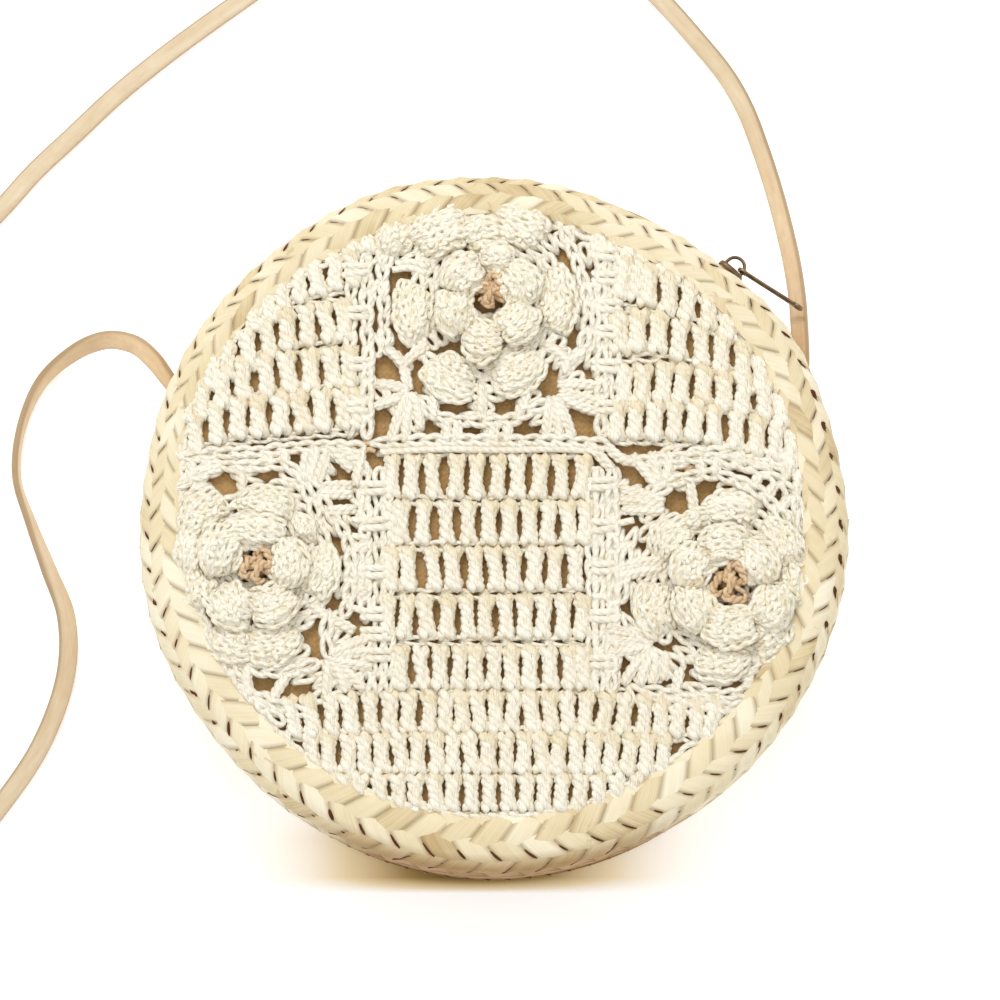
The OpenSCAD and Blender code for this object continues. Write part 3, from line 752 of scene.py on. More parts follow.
# ------------------------------------------------------------------ crochet
CX, CY, CR = -0.6, 0.0, 95.2


def settle(p):
    """The crochet's edge goes down under the ring."""
    p = np.array(p, float)
    r = np.hypot(p[..., 0] - CX, p[..., 1] - CY) - crochet_out(np.arctan2(p[..., 0] - CX, p[..., 1] - CY))
    k = np.clip((r - 91.0) / 4.0, 0, 1)
    p[..., 2] -= 1.7 * k * k * (3 - 2 * k)
    return p


def inside(p, more=0.0):
    return math.hypot(p[0] - CX, p[1] - CY) < CR + more + crochet_out(math.atan2(p[0] - CX, p[1] - CY))


def path_px(pts, z, sub=5):
    p = np.array([[q[0], q[1], q[2] if len(q) > 2 else z] for q in pts], float)
    if len(p) > 2:
        p = smooth_path(p, sub)
    return np.array([P(*q) for q in p])


def twist(build, pts, width=4.6, pitch=8.0, ply=3, phase=None, tint=None, k=6, flat=0.62, pinch=0.22, step=0.95, swell=0.0):
    """Strands wound round each other along pts, in mm."""
    p = resample(pts, step)
    if len(p) < 4:
        p = resample(pts, np.linalg.norm(np.diff(np.asarray(pts)[:, :3], axis=0), axis=1).sum() / 4)
    t, n, bb = carried(p)
    s_ = np.concatenate([[0], np.cumsum(np.linalg.norm(np.diff(p, axis=0), axis=1))])
    phase = rng.uniform(0, TAU) if phase is None else phase
    e = np.abs(2 * s_ / s_[-1] - 1)
    w = np.clip((e - 0.3) / 0.5, 0, 1)
    w = swell * w * w * (3 - 2 * w)
    e = 0 * e if swell else e ** 3
    rh = width * 0.25 * (1 - pinch * e) * (1 + 1.35 * w)
    rs = width * (0.265 if ply > 2 else 0.28) * (1 - 0.2 * e) * (1 + 0.45 * w)
    tint = rng.uniform(0.2, 0.9) if tint is None else tint
    for j in range(ply):
        a = phase + TAU * (s_ / pitch + j / ply)
        c = p + (rh * np.cos(a))[:, None] * bb + (flat * rh * np.sin(a))[:, None] * n
        tube(build, settle(c), rs, k, tint=tint, edge="under_shade")


def strand(build, pts, rad=0.95, tint=None, k=7):
    p = resample(pts, 1.0)
    if len(p) < 3:
        p = resample(pts, 0.5)
    tube(build, settle(p), rad, k, tint=rng.uniform(0.2, 0.9) if tint is None else tint, edge="under_shade")


LOOP = np.array([(-0.30, 0.2, -0.8), (0.05, 0.6, 0.35), (0.40, 1.15, 0.5), (0.76, 1.25, 0.3), (1.02, 0.75, 0.0), (1.1, 0, -0.12),
                 (1.02, -0.75, 0.0), (0.76, -1.25, 0.3), (0.40, -1.15, 0.5), (0.05, -0.6, 0.35), (-0.30, -0.2, -0.8)])


def chain(build, pts, pitch=6.1, width=4.9, rad=0.84, tint=None, k=6, skip=None, wild=0.12, lift=1.0):
    """A line of crochet chain stitches along pts, in mm."""
    p = np.asarray(pts, float)
    total = np.linalg.norm(np.diff(p, axis=0), axis=1).sum()
    n = max(1, int(round(total / pitch)))
    q = resample(p, total / n)
    if len(q) < 2:
        return
    t, nn, bb = carried(q)
    step = total / n
    for i in range(len(q) - 1):
        if not inside(q[i], 0.5) or (skip is not None and skip((q[i] + q[i + 1]) / 2)):
            continue
        loop = smooth_path(LOOP, 2, closed=True)
        wf = width / 3.7 * rng.uniform(0.9, 1.1)
        d = norm(q[i + 1] - q[i])
        side = norm(np.cross(nn[i], d))
        skew = rng.normal(0, wild)
        c = q[i] + (loop[:, :1] * step) * d + (loop[:, 1:2] * wf + skew * loop[:, :1]) * side + (loop[:, 2:] * wf * lift + rng.normal(0, 0.1)) * nn[i]
        tube(build, settle(c), rad * min(wf, 1.25), k, tint=rng.uniform(0.2, 0.95) if tint is None else tint, closed=True, edge="under_shade")


def post(build, x, y, half=15.5, lean=0.0, width=4.9, z=75.2):
    """One tall stitch, centred at (x, y) px, leaning by lean degrees."""
    half = half + 4.0
    a = math.radians(lean + rng.normal(0, 2.6))
    dx, dy = math.sin(a) * half, math.cos(a) * half
    zz = z + rng.normal(0, 0.12)
    pts = [(x - dx * 0.9 + rng.normal(0, 0.6), y + dy, zz - 0.55), (x - dx * 0.4 + rng.normal(0, 1.0), y + dy * 0.4, zz + 0.2),
           (x + dx * 0.4 + rng.normal(0, 1.0), y - dy * 0.4, zz + 0.3), (x + dx + rng.normal(0, 0.6), y - dy, zz - 0.3)]
    w = path_px(pts, z, 4)
    if not inside(w[len(w) // 2], 1.0):
        return
    twist(build, w, width * rng.uniform(0.92, 1.08), pitch=rng.uniform(6.0, 9.0), swell=0.34)


def poly_y(line, x):
    xs = [q[0] for q in line]
    return float(np.interp(x, xs, [q[1] for q in line]))


# the openings: centre and half size, in px
HOLES = np.array([
    (395, 282, 8, 12), (402, 343, 11, 11), (382, 364, 11, 11), (416, 383, 8, 14), (453, 347, 10, 8), (508, 352, 12, 4), (570, 337, 8, 11),
    (551, 379, 9, 16), (586, 370, 8, 11), (458, 407, 14, 6), (503, 406, 13, 8), (431, 427, 9, 10), (476, 431, 11, 4), (526, 427, 14, 11),
    (387, 419, 8, 15), (582, 420, 10, 11), (568, 263, 6, 13), (593, 268, 7, 12), (596, 321, 4, 9), (488, 292, 14, 18), (550, 226, 5, 7),
    (606, 437, 8, 8), (377, 273, 4, 8), (377, 318, 4, 13), (581, 238, 7, 2), (417, 228, 6, 3), (473, 246, 4, 3),
    (219, 485, 11, 8), (264, 475, 15, 6), (312, 497, 6, 13), (340, 473, 12, 13), (293, 453, 12, 7), (367, 447, 9, 8), (361, 432, 5, 6),
    (342, 505, 8, 2), (339, 539, 7, 13), (337, 607, 9, 9), (361, 621, 8, 10), (316, 644, 9, 17), (266, 678, 12, 8), (297, 695, 15, 11),
    (210, 614, 7, 6), (258, 626, 6, 3), (361, 529, 4, 9), (369, 483, 3, 12), (381, 697, 5, 16), (346, 710, 4, 8), (258, 563, 12, 17),
    (709, 491, 13, 8), (672, 504, 12, 10), (642, 476, 8, 8), (690, 469, 9, 5), (631, 526, 8, 10), (641, 546, 4, 11), (639, 583, 7, 5),
    (621, 615, 7, 12), (622, 667, 9, 12), (659, 647, 9, 5), (664, 688, 7, 9), (685, 677, 8, 9), (736, 688, 13, 5), (598, 698, 6, 13),
    (696, 541, 4, 3), (764, 504, 7, 7), (773, 488, 9, 4), (733, 475, 11, 3), (730, 583, 15, 13), (620, 571, 3, 8), (597, 322, 5, 8)], float)
HOLE_MM = np.array([P(x, y, 75.4)[:2] for x, y, _, _ in HOLES])
PX = np.linalg.norm(P(510, 500) - P(500, 500)) / 10


def in_hole(q, more=6.0):
    d = (np.asarray(q)[:2] - HOLE_MM) / ((HOLES[:, 2:] + more) * PX)
    return bool((np.hypot(d[:, 0], d[:, 1]) < 1).any())


rows = Build()
CENTRE_ROWS = [
    (477, [392.5, 411.5, 433.5, 456, 477.5, 497.5, 517.5, 539, 560.5, 581.5], 0),
    (523, [394, 402, 423, 446, 469, 489.5, 509, 529, 548.5, 568, 585], 0),
    (569, [391, 408, 432.5, 453.5, 474.5, 494.5, 514, 534, 554.5, 575.5], 0),
    (617, [388, 406, 425.5, 447, 467, 486.5, 505.5, 524.5, 543, 563, 582], 0),
    (668, [401, 421, 441, 459.5, 476, 493.5, 511.5, 530, 550, 570, 584], 0),
]
for y, xs, lean in CENTRE_ROWS:
    for x in xs:
        post(rows, x, y, 16.5, lean, width=4.75)
for x in [292, 311, 331, 350, 371, 390, 409, 428.5, 445.5, 462, 479, 496, 513.5, 532, 550.5, 568, 586, 604, 624, 643, 661, 679, 697, 713]:
    far = (x - 490) / 230
    post(rows, x, 712 + 7 * far * far, 15.5, 9 * far)
for x in np.arange(312.4, 682, 17.6):
    far = (x - 490) / 200
    post(rows, x, 753 + 2 * far * far, 15.5, 5 * far)
for x in np.arange(343.8, 662, 18.2):
    far = (x - 490) / 150
    post(rows, x, 793 - 1 * far * far, 13.5, 4 * far, width=4.8)
for line in [
    [(384, 453), (490, 452), (594, 454)],
    [(386, 500), (490, 501), (592, 500)],
    [(386, 546), (490, 547), (590, 546)],
    [(384, 594), (490, 594), (590, 594)],
    [(384, 641), (490, 642), (592, 641)],
    [(352, 691), (390, 689), (490, 690), (590, 690), (630, 694)],
    [(272, 738), (330, 735), (400, 732), (490, 731), (600, 731), (660, 735), (722, 742)],
    [(318, 778), (360, 775), (490, 773), (620, 775), (672, 780)],
    [(360, 813), (420, 815), (490, 817), (560, 816), (625, 812)],
]:
    chain(rows, path_px(line, 74.3), width=3.6, rad=0.72)

# the upper left block
for x, y in [(253, 312), (268, 303), (281, 293), (298, 284), (316, 277), (334, 272), (352, 268)]:
    post(rows, x, y, 14, -8)
for x, y in [(212, 371), (229, 362), (247, 350), (267, 338), (287.5, 330), (307.5, 326), (326, 323), (344, 321)]:
    post(rows, x, y, 15, -5, width=5.3)
for x, y in [(187, 405), (203, 398), (222, 388), (244, 379), (266, 376), (288, 373), (311, 371), (332, 369), (350, 367)]:
    post(rows, x, y, 15.5, -4, width=5.3)
for x, y in [(177, 441), (196, 433), (216, 424), (238, 418), (258.5, 416), (279.5, 414), (301, 412), (322, 410.5), (342, 409), (357, 408)]:
    post(rows, x, y, 15.5, -3, width=5.3)
for x, y in [(316, 243), (333, 238), (350, 236), (366, 235), (382, 233), (398, 231)]:
    post(rows, x, y, 13, -6)
for line in [
    [(300, 262), (325, 252), (352, 246), (380, 244)],
    [(256, 322), (285, 309), (310, 301), (348, 296)],
    [(204, 388), (222, 378), (250, 360), (277, 353), (300, 349), (350, 345)],
    [(180, 424), (196, 418), (225, 403), (255, 397), (290, 392), (356, 388)],
    [(168, 458), (184, 452), (215, 445), (250, 440), (290, 436), (356, 431)],
    [(325, 222), (360, 214), (400, 210), (440, 206)],
]:
    chain(rows, path_px(line, 74.3), width=3.6, rad=0.72)

# the upper right block
for x, y in [(622, 278), (635, 281), (648.5, 286), (668, 294), (688, 301), (709, 310), (728, 320)]:
    post(rows, x, y, 15, 5, width=5.3)
for x, y in [(620, 334), (638, 331), (658.5, 333), (679.5, 340.5), (700.5, 346.5), (722, 354), (743, 363), (760, 374)]:
    post(rows, x, y, 15, 5, width=5.3)
for x, y in [(625, 386), (642, 385), (662.5, 384), (682.5, 385), (703, 387), (724, 391), (744, 395), (764, 400), (783, 408), (796, 416)]:
    post(rows, x, y, 14.5, 4, width=5.3)
for x, y in [(617, 421), (635, 420), (654, 421), (674, 421), (694.5, 422), (714.5, 425), (736, 430), (756.5, 436), (775.5, 442), (793, 449)]:
    post(rows, x, y, 14, 5, width=5.3)
for x, y in [(598, 238), (612, 240), (628, 244), (645, 250), (662, 258), (678, 266), (694, 275)]:
    post(rows, x, y, 12, 8, width=4.8)
for line in [
    [(612, 260), (650, 265), (690, 279), (722, 295)],
    [(612, 309), (650, 309), (690, 321), (740, 342), (760, 354)],
    [(616, 359), (650, 358), (690, 364), (735, 374), (775, 388)],
    [(616, 403), (660, 403), (700, 406), (745, 413), (798, 428)],
    [(612, 440), (660, 441), (700, 443), (745, 452), (802, 468)],
    [(590, 222), (630, 228), (665, 242), (700, 258)],
]:
    chain(rows, path_px(line, 74.3), width=3.6, rad=0.72)

# the columns that join the blocks: ladders of two-strand bars over upright strands
def bar(x0, x1, y, sag=0.0):
    for d in (-4.0, 3.6):
        j = rng.normal(0, 0.8)
        strand(rows, path_px([(x0, y + d + j, 75.2), ((x0 + x1) / 2, y + d + sag, 76.9), (x1, y + d - j, 75.2)], 76), 1.12)


def upright(x0, y0, x1, y1, width=4.0):
    chain(rows, path_px([(x0, y0, 75.0), ((x0 + x1) / 2 + rng.normal(0, 1), (y0 + y1) / 2, 75.3), (x1, y1, 75.0)], 75.2), pitch=5.4, width=width, wild=0.2, skip=lambda q: in_hole(q, -1.0))


for y in (488, 524, 572, 614, 634, 655):
    bar(361, 392, y)
for y in (484, 526, 568, 616, 662):
    bar(587, 620, y)
for x0, x1 in ((366, 364), (378, 379), (389, 388)):
    upright(x0, 690, x1, 470)
for x0, x1 in ((592, 592), (600, 599), (614, 614)):
    upright(x0, 690, x1, 470)
for y in (270, 313, 364, 407):
    bar(342, 369, y)
for y in (254, 278, 306, 332, 366, 407):
    bar(592, 622, y)
upright(350, 432, 352, 250)
upright(367, 436, 366, 256)
upright(385, 346, 381, 232, 4.0)
upright(616, 436, 612, 250)
upright(602, 436, 600, 236, 4.2)
# stitches along the ring's edge
edging = Build()
for r, zz in ((92.6, 75.1),):
    a = np.linspace(0, TAU, 121)
    r = r + crochet_out(a)
    chain(edging, np.stack([CX + r * np.sin(a), CY + r * np.cos(a), np.full(121, zz)], -1), pitch=5.2, width=3.8, wild=0.35)

# ------------------------------------------------------------------ open work round the flowers
net = Build()
ground = Build()
for (cx, cy), box_, radii in (((487, 299), (366, 204, 604, 446), (24, 36, 48, 60, 72, 84, 96, 108, 120, 132, 144)),
                              ((259, 567), (166, 452, 368, 720), (24, 36, 48, 60, 72, 84, 96, 108, 120, 132, 144)),
                              ((729, 583), (604, 450, 812, 712), (24, 36, 48, 60, 72, 84, 96, 108, 120, 132, 144))):
    lo, hi = P(box_[0], box_[3])[:2], P(box_[2], box_[1])[:2]
    for i, r in enumerate(radii):
        a = np.linspace(0, TAU, 73) + i * 0.7
        w = np.array([P(cx + r * math.cos(x), cy - r * math.sin(x), 74.9 + rng.normal(0, 0.1)) for x in a])
        chain(ground, w, pitch=4.9, width=4.4, wild=0.45,
              skip=lambda q: in_hole(q) or q[0] < lo[0] or q[0] > hi[0] or q[1] < lo[1] or q[1] > hi[1])


def nets(kind, *lines):
    for line in lines:
        w = path_px(line, 75.9)
        if kind == "c":
            chain(net, w, pitch=5.0, width=4.0, wild=0.2, skip=lambda q: in_hole(q, -2.5))
        elif kind == "p":
            twist(net, w, 3.8, pitch=7.0)
        elif kind == "s":
            strand(net, w, 1.1)


nets("p", [(409, 392), (398, 418), (390, 442)], [(410, 394), (407, 418), (405, 442)], [(412, 393), (418, 412), (420, 430)],
     [(409, 391), (394, 386), (376, 383)], [(408, 395), (392, 400), (374, 407)], [(409, 390), (403, 365)], [(403, 366), (414, 354), (428, 345)],
     [(403, 366), (396, 356), (385, 349)], [(432, 396), (434, 418)], [(482, 384), (482, 404), (481, 420)], [(528, 392), (522, 406), (516, 420)],
     [(446, 420), (447, 442)], [(458, 421), (457, 442)], [(494, 422), (494, 443)], [(508, 421), (507, 443)],
     [(551, 397), (548, 418), (546, 440)], [(553, 397), (557, 418), (560, 441)], [(555, 396), (564, 415), (573, 438)],
     [(558, 385), (578, 384), (600, 386)], [(560, 390), (580, 397), (602, 403)], [(559, 394), (578, 405), (600, 413)],
     [(564, 374), (569, 360)], [(569, 361), (558, 352), (545, 345)], [(569, 361), (578, 356), (586, 349)])
nets("c", [(424, 409), (442, 418), (464, 421), (491, 422), (512, 420), (528, 412), (546, 402)],
     [(376, 443), (430, 441), (490, 441), (550, 441), (606, 444)],
     [(563, 230), (574, 255), (584, 284), (589, 315), (583, 346)],
     [(369, 350), (367, 400), (368, 436)], [(600, 236), (602, 300), (602, 370), (600, 432)])
nets("s", [(585, 286), (603, 285)], [(586, 304), (602, 306)], [(583, 332), (602, 333)], [(380, 452), (440, 449), (500, 450), (560, 449), (604, 452)],
     [(395, 264), (412, 262), (428, 268)], [(392, 270), (410, 268), (426, 274)], [(563, 228), (550, 214), (530, 208)], [(563, 230), (580, 226), (600, 236)])

nets("c", [(178, 487), (196, 475), (218, 466), (240, 466), (261, 467), (283, 463), (303, 478), (318, 491), (328, 512), (345, 532), (351, 560), (350, 593), (344, 615)],
     [(186, 458), (210, 455), (240, 452), (262, 452), (300, 447), (330, 447), (362, 448)],
     [(304, 486), (312, 502), (317, 517)], [(328, 617), (325, 634), (328, 656)], [(250, 667), (270, 673), (291, 672), (316, 663)],
     [(239, 687), (255, 697), (272, 704), (303, 712)], [(194, 600), (204, 624), (228, 665), (254, 699), (282, 722)])
nets("p", [(240, 466), (243, 494)], [(307, 449), (303, 482)], [(316, 447), (309, 483)], [(328, 449), (317, 485)], [(318, 487), (352, 485)], [(318, 494), (352, 494)],
     [(352, 548), (368, 548)], [(352, 591), (368, 592)], [(328, 511), (356, 509)], [(330, 655), (352, 644), (374, 636)], [(331, 658), (352, 654), (374, 651)],
     [(330, 661), (350, 664), (372, 667)], [(328, 660), (327, 680), (326, 700)], [(331, 662), (340, 676), (347, 692)], [(334, 663), (350, 675), (364, 690)],
     [(311, 606), (328, 617)], [(330, 618), (342, 624), (354, 631)], [(247, 667), (247, 682), (251, 697)], [(288, 674), (280, 686), (272, 700)],
     [(352, 470), (340, 458), (330, 448)], [(362, 450), (358, 470), (356, 486)], [(336, 447), (350, 455), (362, 466)],
     [(222, 466), (205, 470), (190, 478)], [(192, 460), (190, 484)], [(206, 457), (207, 472)], [(268, 452), (270, 466)], [(284, 450), (285, 464)])
nets("s", [(200, 600), (188, 592), (180, 575)], [(180, 560), (176, 540), (178, 512)], [(176, 490), (184, 478), (196, 468)], [(352, 520), (370, 520)], [(352, 536), (370, 538)],
     [(350, 575), (368, 574)], [(346, 606), (368, 612)])

nets("c", [(655, 494), (670, 483), (690, 476), (710, 474), (731, 478), (749, 487), (768, 500), (786, 522)],
     [(634, 462), (660, 460), (690, 458), (725, 460), (747, 467), (775, 478), (797, 500), (802, 530)],
     [(634, 533), (628, 548), (625, 572), (622, 602), (628, 625), (650, 640)], [(655, 652), (670, 667), (694, 689), (723, 696), (752, 690)],
     [(646, 690), (675, 696), (720, 708), (748, 704)], [(612, 470), (612, 520), (613, 580), (612, 640), (611, 690)])
nets("p", [(690, 483), (695, 517)], [(664, 502), (642, 494), (620, 489)], [(663, 506), (640, 501), (620, 500)], [(664, 510), (642, 510), (622, 510)],
     [(660, 490), (646, 472), (632, 455)], [(662, 488), (656, 470), (652, 452)], [(664, 487), (668, 470), (670, 452)], [(614, 548), (634, 545)], [(614, 570), (640, 563), (664, 560)],
     [(616, 578), (640, 572), (662, 568)], [(651, 638), (628, 632), (606, 630)], [(650, 642), (628, 642), (606, 642)], [(652, 646), (630, 650), (608, 654)],
     [(650, 648), (636, 664), (623, 684)], [(653, 650), (645, 666), (640, 686)], [(656, 651), (656, 668), (652, 684)], [(666, 652), (664, 680)], [(680, 668), (676, 690)],
     [(606, 445), (620, 458), (634, 462)], [(590, 444), (600, 456), (612, 470)], [(700, 460), (702, 476)], [(716, 460), (716, 475)], [(760, 474), (752, 488)], [(776, 482), (766, 500)],
     [(790, 496), (778, 512)], [(800, 470), (796, 496)], [(790, 460), (784, 480)], [(740, 452), (742, 466)], [(760, 690), (752, 702)], [(774, 676), (768, 692)])
nets("s", [(592, 596), (612, 598)], [(620, 602), (606, 606)], [(622, 616), (608, 618)], [(634, 520), (616, 524)], [(745, 700), (770, 686), (786, 668)], [(790, 655), (796, 630), (802, 600)])

# ------------------------------------------------------------------ petals
petal_top, petal_left, petal_right = Build(), Build(), Build()


def petal(build, cx, cy, ang, length, width, z0, z1, dome, base=0.5):
    """A petal centred at (cx, cy) px that grows towards ang (degrees, anticlockwise from the right), length by width px,
    worked in rounds of small stitches."""
    d = np.array([math.cos(math.radians(ang)), -math.sin(math.radians(ang))])
    e = np.array([-d[1], d[0]])
    o = np.array([cx, cy]) - d * length / 2
    lump = rng.uniform(0, TAU, 4)

    def at(u, v, up=0.0):
        wide_ = width / 2 * (base + (1 - base) * math.sin(math.pi / 2 * min(1.0, u * 1.3)))
        wide_ *= 1 + 0.06 * math.sin(7 * u + lump[0])
        q = o + d * length * u * (1 - 0.26 * v * v * u) + e * v * wide_
        puff = max(0.0, 1 - abs(v) ** 3.0) ** 0.62 * max(0.0, 1 - (max(0.0, u - 0.5) / 0.5) ** 3.2) ** 0.6 * min(1.0, 0.35 + u * 2.2)
        z = z0 + (z1 - z0) * u + dome * puff + up
        z += 0.28 * math.sin(4.4 * v + lump[1]) + 0.2 * math.sin(8 * u + lump[2]) + 0.12 * math.sin(13 * v + 9 * u + lump[3])
        return P(q[0], q[1], z)

    us = 1 - np.linspace(1, 0, 15) ** 1.6
    vs = np.sin(np.linspace(-1, 1, 15) * math.pi / 2)
    top = np.array([[at(u, v, 0.05) for v in vs] for u in us])
    bot = np.array([[at(u * 0.97, v * 0.97, 0.0) * (1, 1, 0) + (0, 0, z0 - 1.2) for v in vs[::-1]] for u in us])
    # painted shade: the shell is mixed darker towards its sides and on its under side
    build.loft(settle(np.concatenate([top, bot], 1)), tint=0.8, edge=np.tile(np.concatenate([0.08 + 0.8 * np.abs(vs) ** 4, np.ones(15)]), 15))
    n_rows = max(4, int(round(length / 8.4)))
    for i in range(n_rows):
        u0 = 0.07 + 0.86 * i / (n_rows - 1)
        v_ = np.linspace(-0.93, 0.93, 9) * (1.0 if i else 0.85)
        arc = np.array([at(min(0.97, max(0.02, u0 + 0.06 * (0.5 - v * v) + rng.normal(0, 0.014))), v, 0.0 + rng.normal(0, 0.12)) for v in v_])
        chain(build, smooth_path(arc, 3), pitch=3.4, width=2.85, rad=1.0, wild=0.55, k=6, lift=0.6)
    # single stitches between the rounds, and the worked edge
    for _ in range(int(length * width / 150)):
        u, v = rng.uniform(0.12, 0.88), rng.uniform(-0.8, 0.8)
        c = at(u, v, 0.35)
        a = math.radians(ang) + rng.normal(0, 1.2)
        h = rng.uniform(0.6, 1.0)
        q = np.array([[math.cos(a) * x * h, math.sin(a) * x * h, 0.4 * (1 - x * x) - 0.3] for x in np.linspace(-1.1, 1.1, 6)])
        tube(build, settle(c + q), [0.4, 0.75, 0.9, 0.9, 0.75, 0.4], 6, tint=rng.uniform(0.4, 1.0), edge="under_shade")
    rim = [at(u, -0.97, -0.5) for u in np.linspace(0.2, 0.9, 6)] + [at(0.985, v, -0.5) for v in np.linspace(-0.75, 0.75, 7)] + [at(u, 0.97, -0.5) for u in np.linspace(0.9, 0.2, 6)]
    chain(build, smooth_path(np.array(rim), 3), pitch=3.4, width=2.2, rad=0.78, wild=0.4, lift=0.3)


def petals(build, outer, inner):
    for x, y, a, l, w in outer:
        petal(build, x, y, a, l, w, 75.6, 76.2, 2.6)
    for x, y, a, l, w in inner:
        petal(build, x, y, a, l, w, 77.4, 79.0, 3.9, base=0.66)


petals(petal_top,
       [(414, 312, 184, 38, 62), (450, 377, 238, 46, 52), (516, 369, 296, 48, 54), (556, 300, 4, 38, 66), (521, 225, 68, 42, 52), (440, 230, 118, 48, 58),
        (484, 236, 92, 40, 40), (396, 238, 150, 30, 36)],
       [(465, 275, 132, 40, 41), (455, 312, 190, 38, 42), (482, 341, 262, 40, 37), (518, 322, 318, 39, 41), (519, 283, 32, 41, 43), (498, 258, 84, 28, 30)])
petals(petal_left,
       [(318, 571, -8, 42, 52), (266, 506, 82, 38, 58), (204, 516, 140, 42, 54), (188, 552, 176, 40, 50), (198, 589, 198, 34, 38), (231, 640, 243, 42, 46),
        (273, 642, 288, 44, 54), (303, 528, 30, 22, 24)],
       [(287, 563, 2, 40, 48), (273, 605, 296, 41, 44), (232, 606, 230, 42, 44), (221, 551, 165, 42, 48), (254, 532, 90, 32, 64)])
petals(petal_right,
       [(657, 609, 194, 42, 54), (673, 539, 146, 42, 44), (730, 511, 92, 36, 52), (781, 543, 42, 38, 50), (791, 588, 0, 32, 50), (774, 633, 318, 44, 52),
        (722, 660, 280, 42, 54), (697, 520, 110, 22, 24)],
       [(724, 545, 94, 41, 45), (757, 562, 40, 41, 45), (773, 606, 338, 39, 45), (729, 626, 268, 41, 52), (694, 607, 205, 41, 44), (692, 566, 152, 41, 43)])

# ------------------------------------------------------------------ tan yarn in the flowers' centres
hearts, heart_top = Build(), Build()


def heart(build, cx, cy, size=1.0):
    """Loose loops of yarn that come up between the inner petals, on a small mound."""
    mound = []
    for r, z in ((0.3, 77.9), (1.3, 77.7), (2.6, 77.0), (3.6, 75.6)):
        mound.append([P(cx, cy, z) + (r * math.cos(a) * (1 + 0.1 * math.sin(3 * a)), r * math.sin(a), 0.25 * math.sin(2 * a) * r / 3) for a in np.arange(20) / 20 * TAU])
    build.loft(np.array(mound), tint=0.2, edge=0.5)
    for k, (ax, ay) in enumerate([(-5, 2), (3, -6), (4, 6)]):
        a0 = rng.uniform(0, TAU)
        loop = []
        for j in range(9):
            a = a0 + j * TAU * 0.82 / 8
            r = 6.5 * size * (1 + 0.25 * math.sin(3 * a))
            loop.append(P(cx + ax * size + r * math.cos(a), cy + ay * size + r * math.sin(a), 77.4 + 2.6 * math.sin(math.pi * j / 8) + 0.4 * k))
        twist(build, smooth_path(np.array(loop), 4), 2.7, pitch=5.0, ply=2, flat=0.9, tint=rng.uniform(0.3, 0.9), step=0.7)
    for k in range(4):
        a = k * 1.5 + rng.uniform(0, 0.8)
        q = np.array([P(cx + math.cos(a) * x * size, cy + math.sin(a) * x * size, 79.6 - abs(x) * 0.16) for x in (-13, -7, 0, 6, 12)])
        tube(build, smooth_path(q, 3), 0.8, 7, tint=rng.uniform(0.2, 1.0))


heart(heart_top, 489, 291, 1.25)
heart(hearts, 258, 566, 1.3)
heart(hearts, 730, 583, 1.45)
# tan strands of the joining round, seen in three openings
for x0, y0, x1, y1 in ((282, 450, 305, 455), (284, 456, 304, 450), (480, 449, 512, 448), (360, 446, 376, 444), (362, 452, 375, 451), (680, 468, 700, 470),
                       (686, 473, 698, 466), (596, 446, 612, 452)):
    tube(hearts, path_px([(x0, y0, 74.2), ((x0 + x1) / 2, (y0 + y1) / 2 - 2, 74.9), (x1, y1, 74.2)], 74.5, 4), 0.85, 7, tint=rng.uniform(0.4, 1.0))


def yarn_piece(name, build, mat, body, nodes):
    return leaf_piece(name, build, mat, body, nodes)


yarn_piece("crochet_rows", rows, COTTON, "lip", ["crochet_panel", "crochet_flap"])
yarn_piece("crochet_edging", edging, COTTON, "lip", [])
yarn_piece("crochet_arches", net, COTTON, "lip", ["crochet_thread", "crochet_thread_flap"])
yarn_piece("crochet_ground", ground, COTTON, "lip", [])
yarn_piece("flower_top_petals", petal_top, PETAL, "lip", ["flower_top", "flower_top_lower"])
yarn_piece("flower_left_petals", petal_left, PETAL, "root", ["flower_left"])
yarn_piece("flower_right_petals", petal_right, PETAL, "root", ["flower_right"])
yarn_piece("flower_hearts", hearts, PEACH, "root", ["flower_centres"])
yarn_piece("flower_heart_top", heart_top, PEACH, "lip", ["flower_centre_top"])

# ------------------------------------------------------------------ linings
b = Build()
rr = np.concatenate([[0.5], np.linspace(8, 99, 15)])
th = np.linspace(0, TAU, 97)[:-1]
z = 72.7 - 0.7 * np.cos(np.minimum(rr / 99, 1) * math.pi / 2)[None, :] + 0.25 * np.sin(3 * th)[:, None] * (rr / 99)[None, :]
grid = np.stack([rr[None] * np.sin(th)[:, None], rr[None] * np.cos(th)[:, None], z], -1)
under = grid.copy()
under[:, :, 2] -= 0.4
b.loft(np.concatenate([grid, under[:, ::-1]], 1), closed=True, tint=0.5)
front_cloth = leaf_piece("front_lining_cloth", b, LINING, "lip", ["front_lining", "front_lining_flap"])

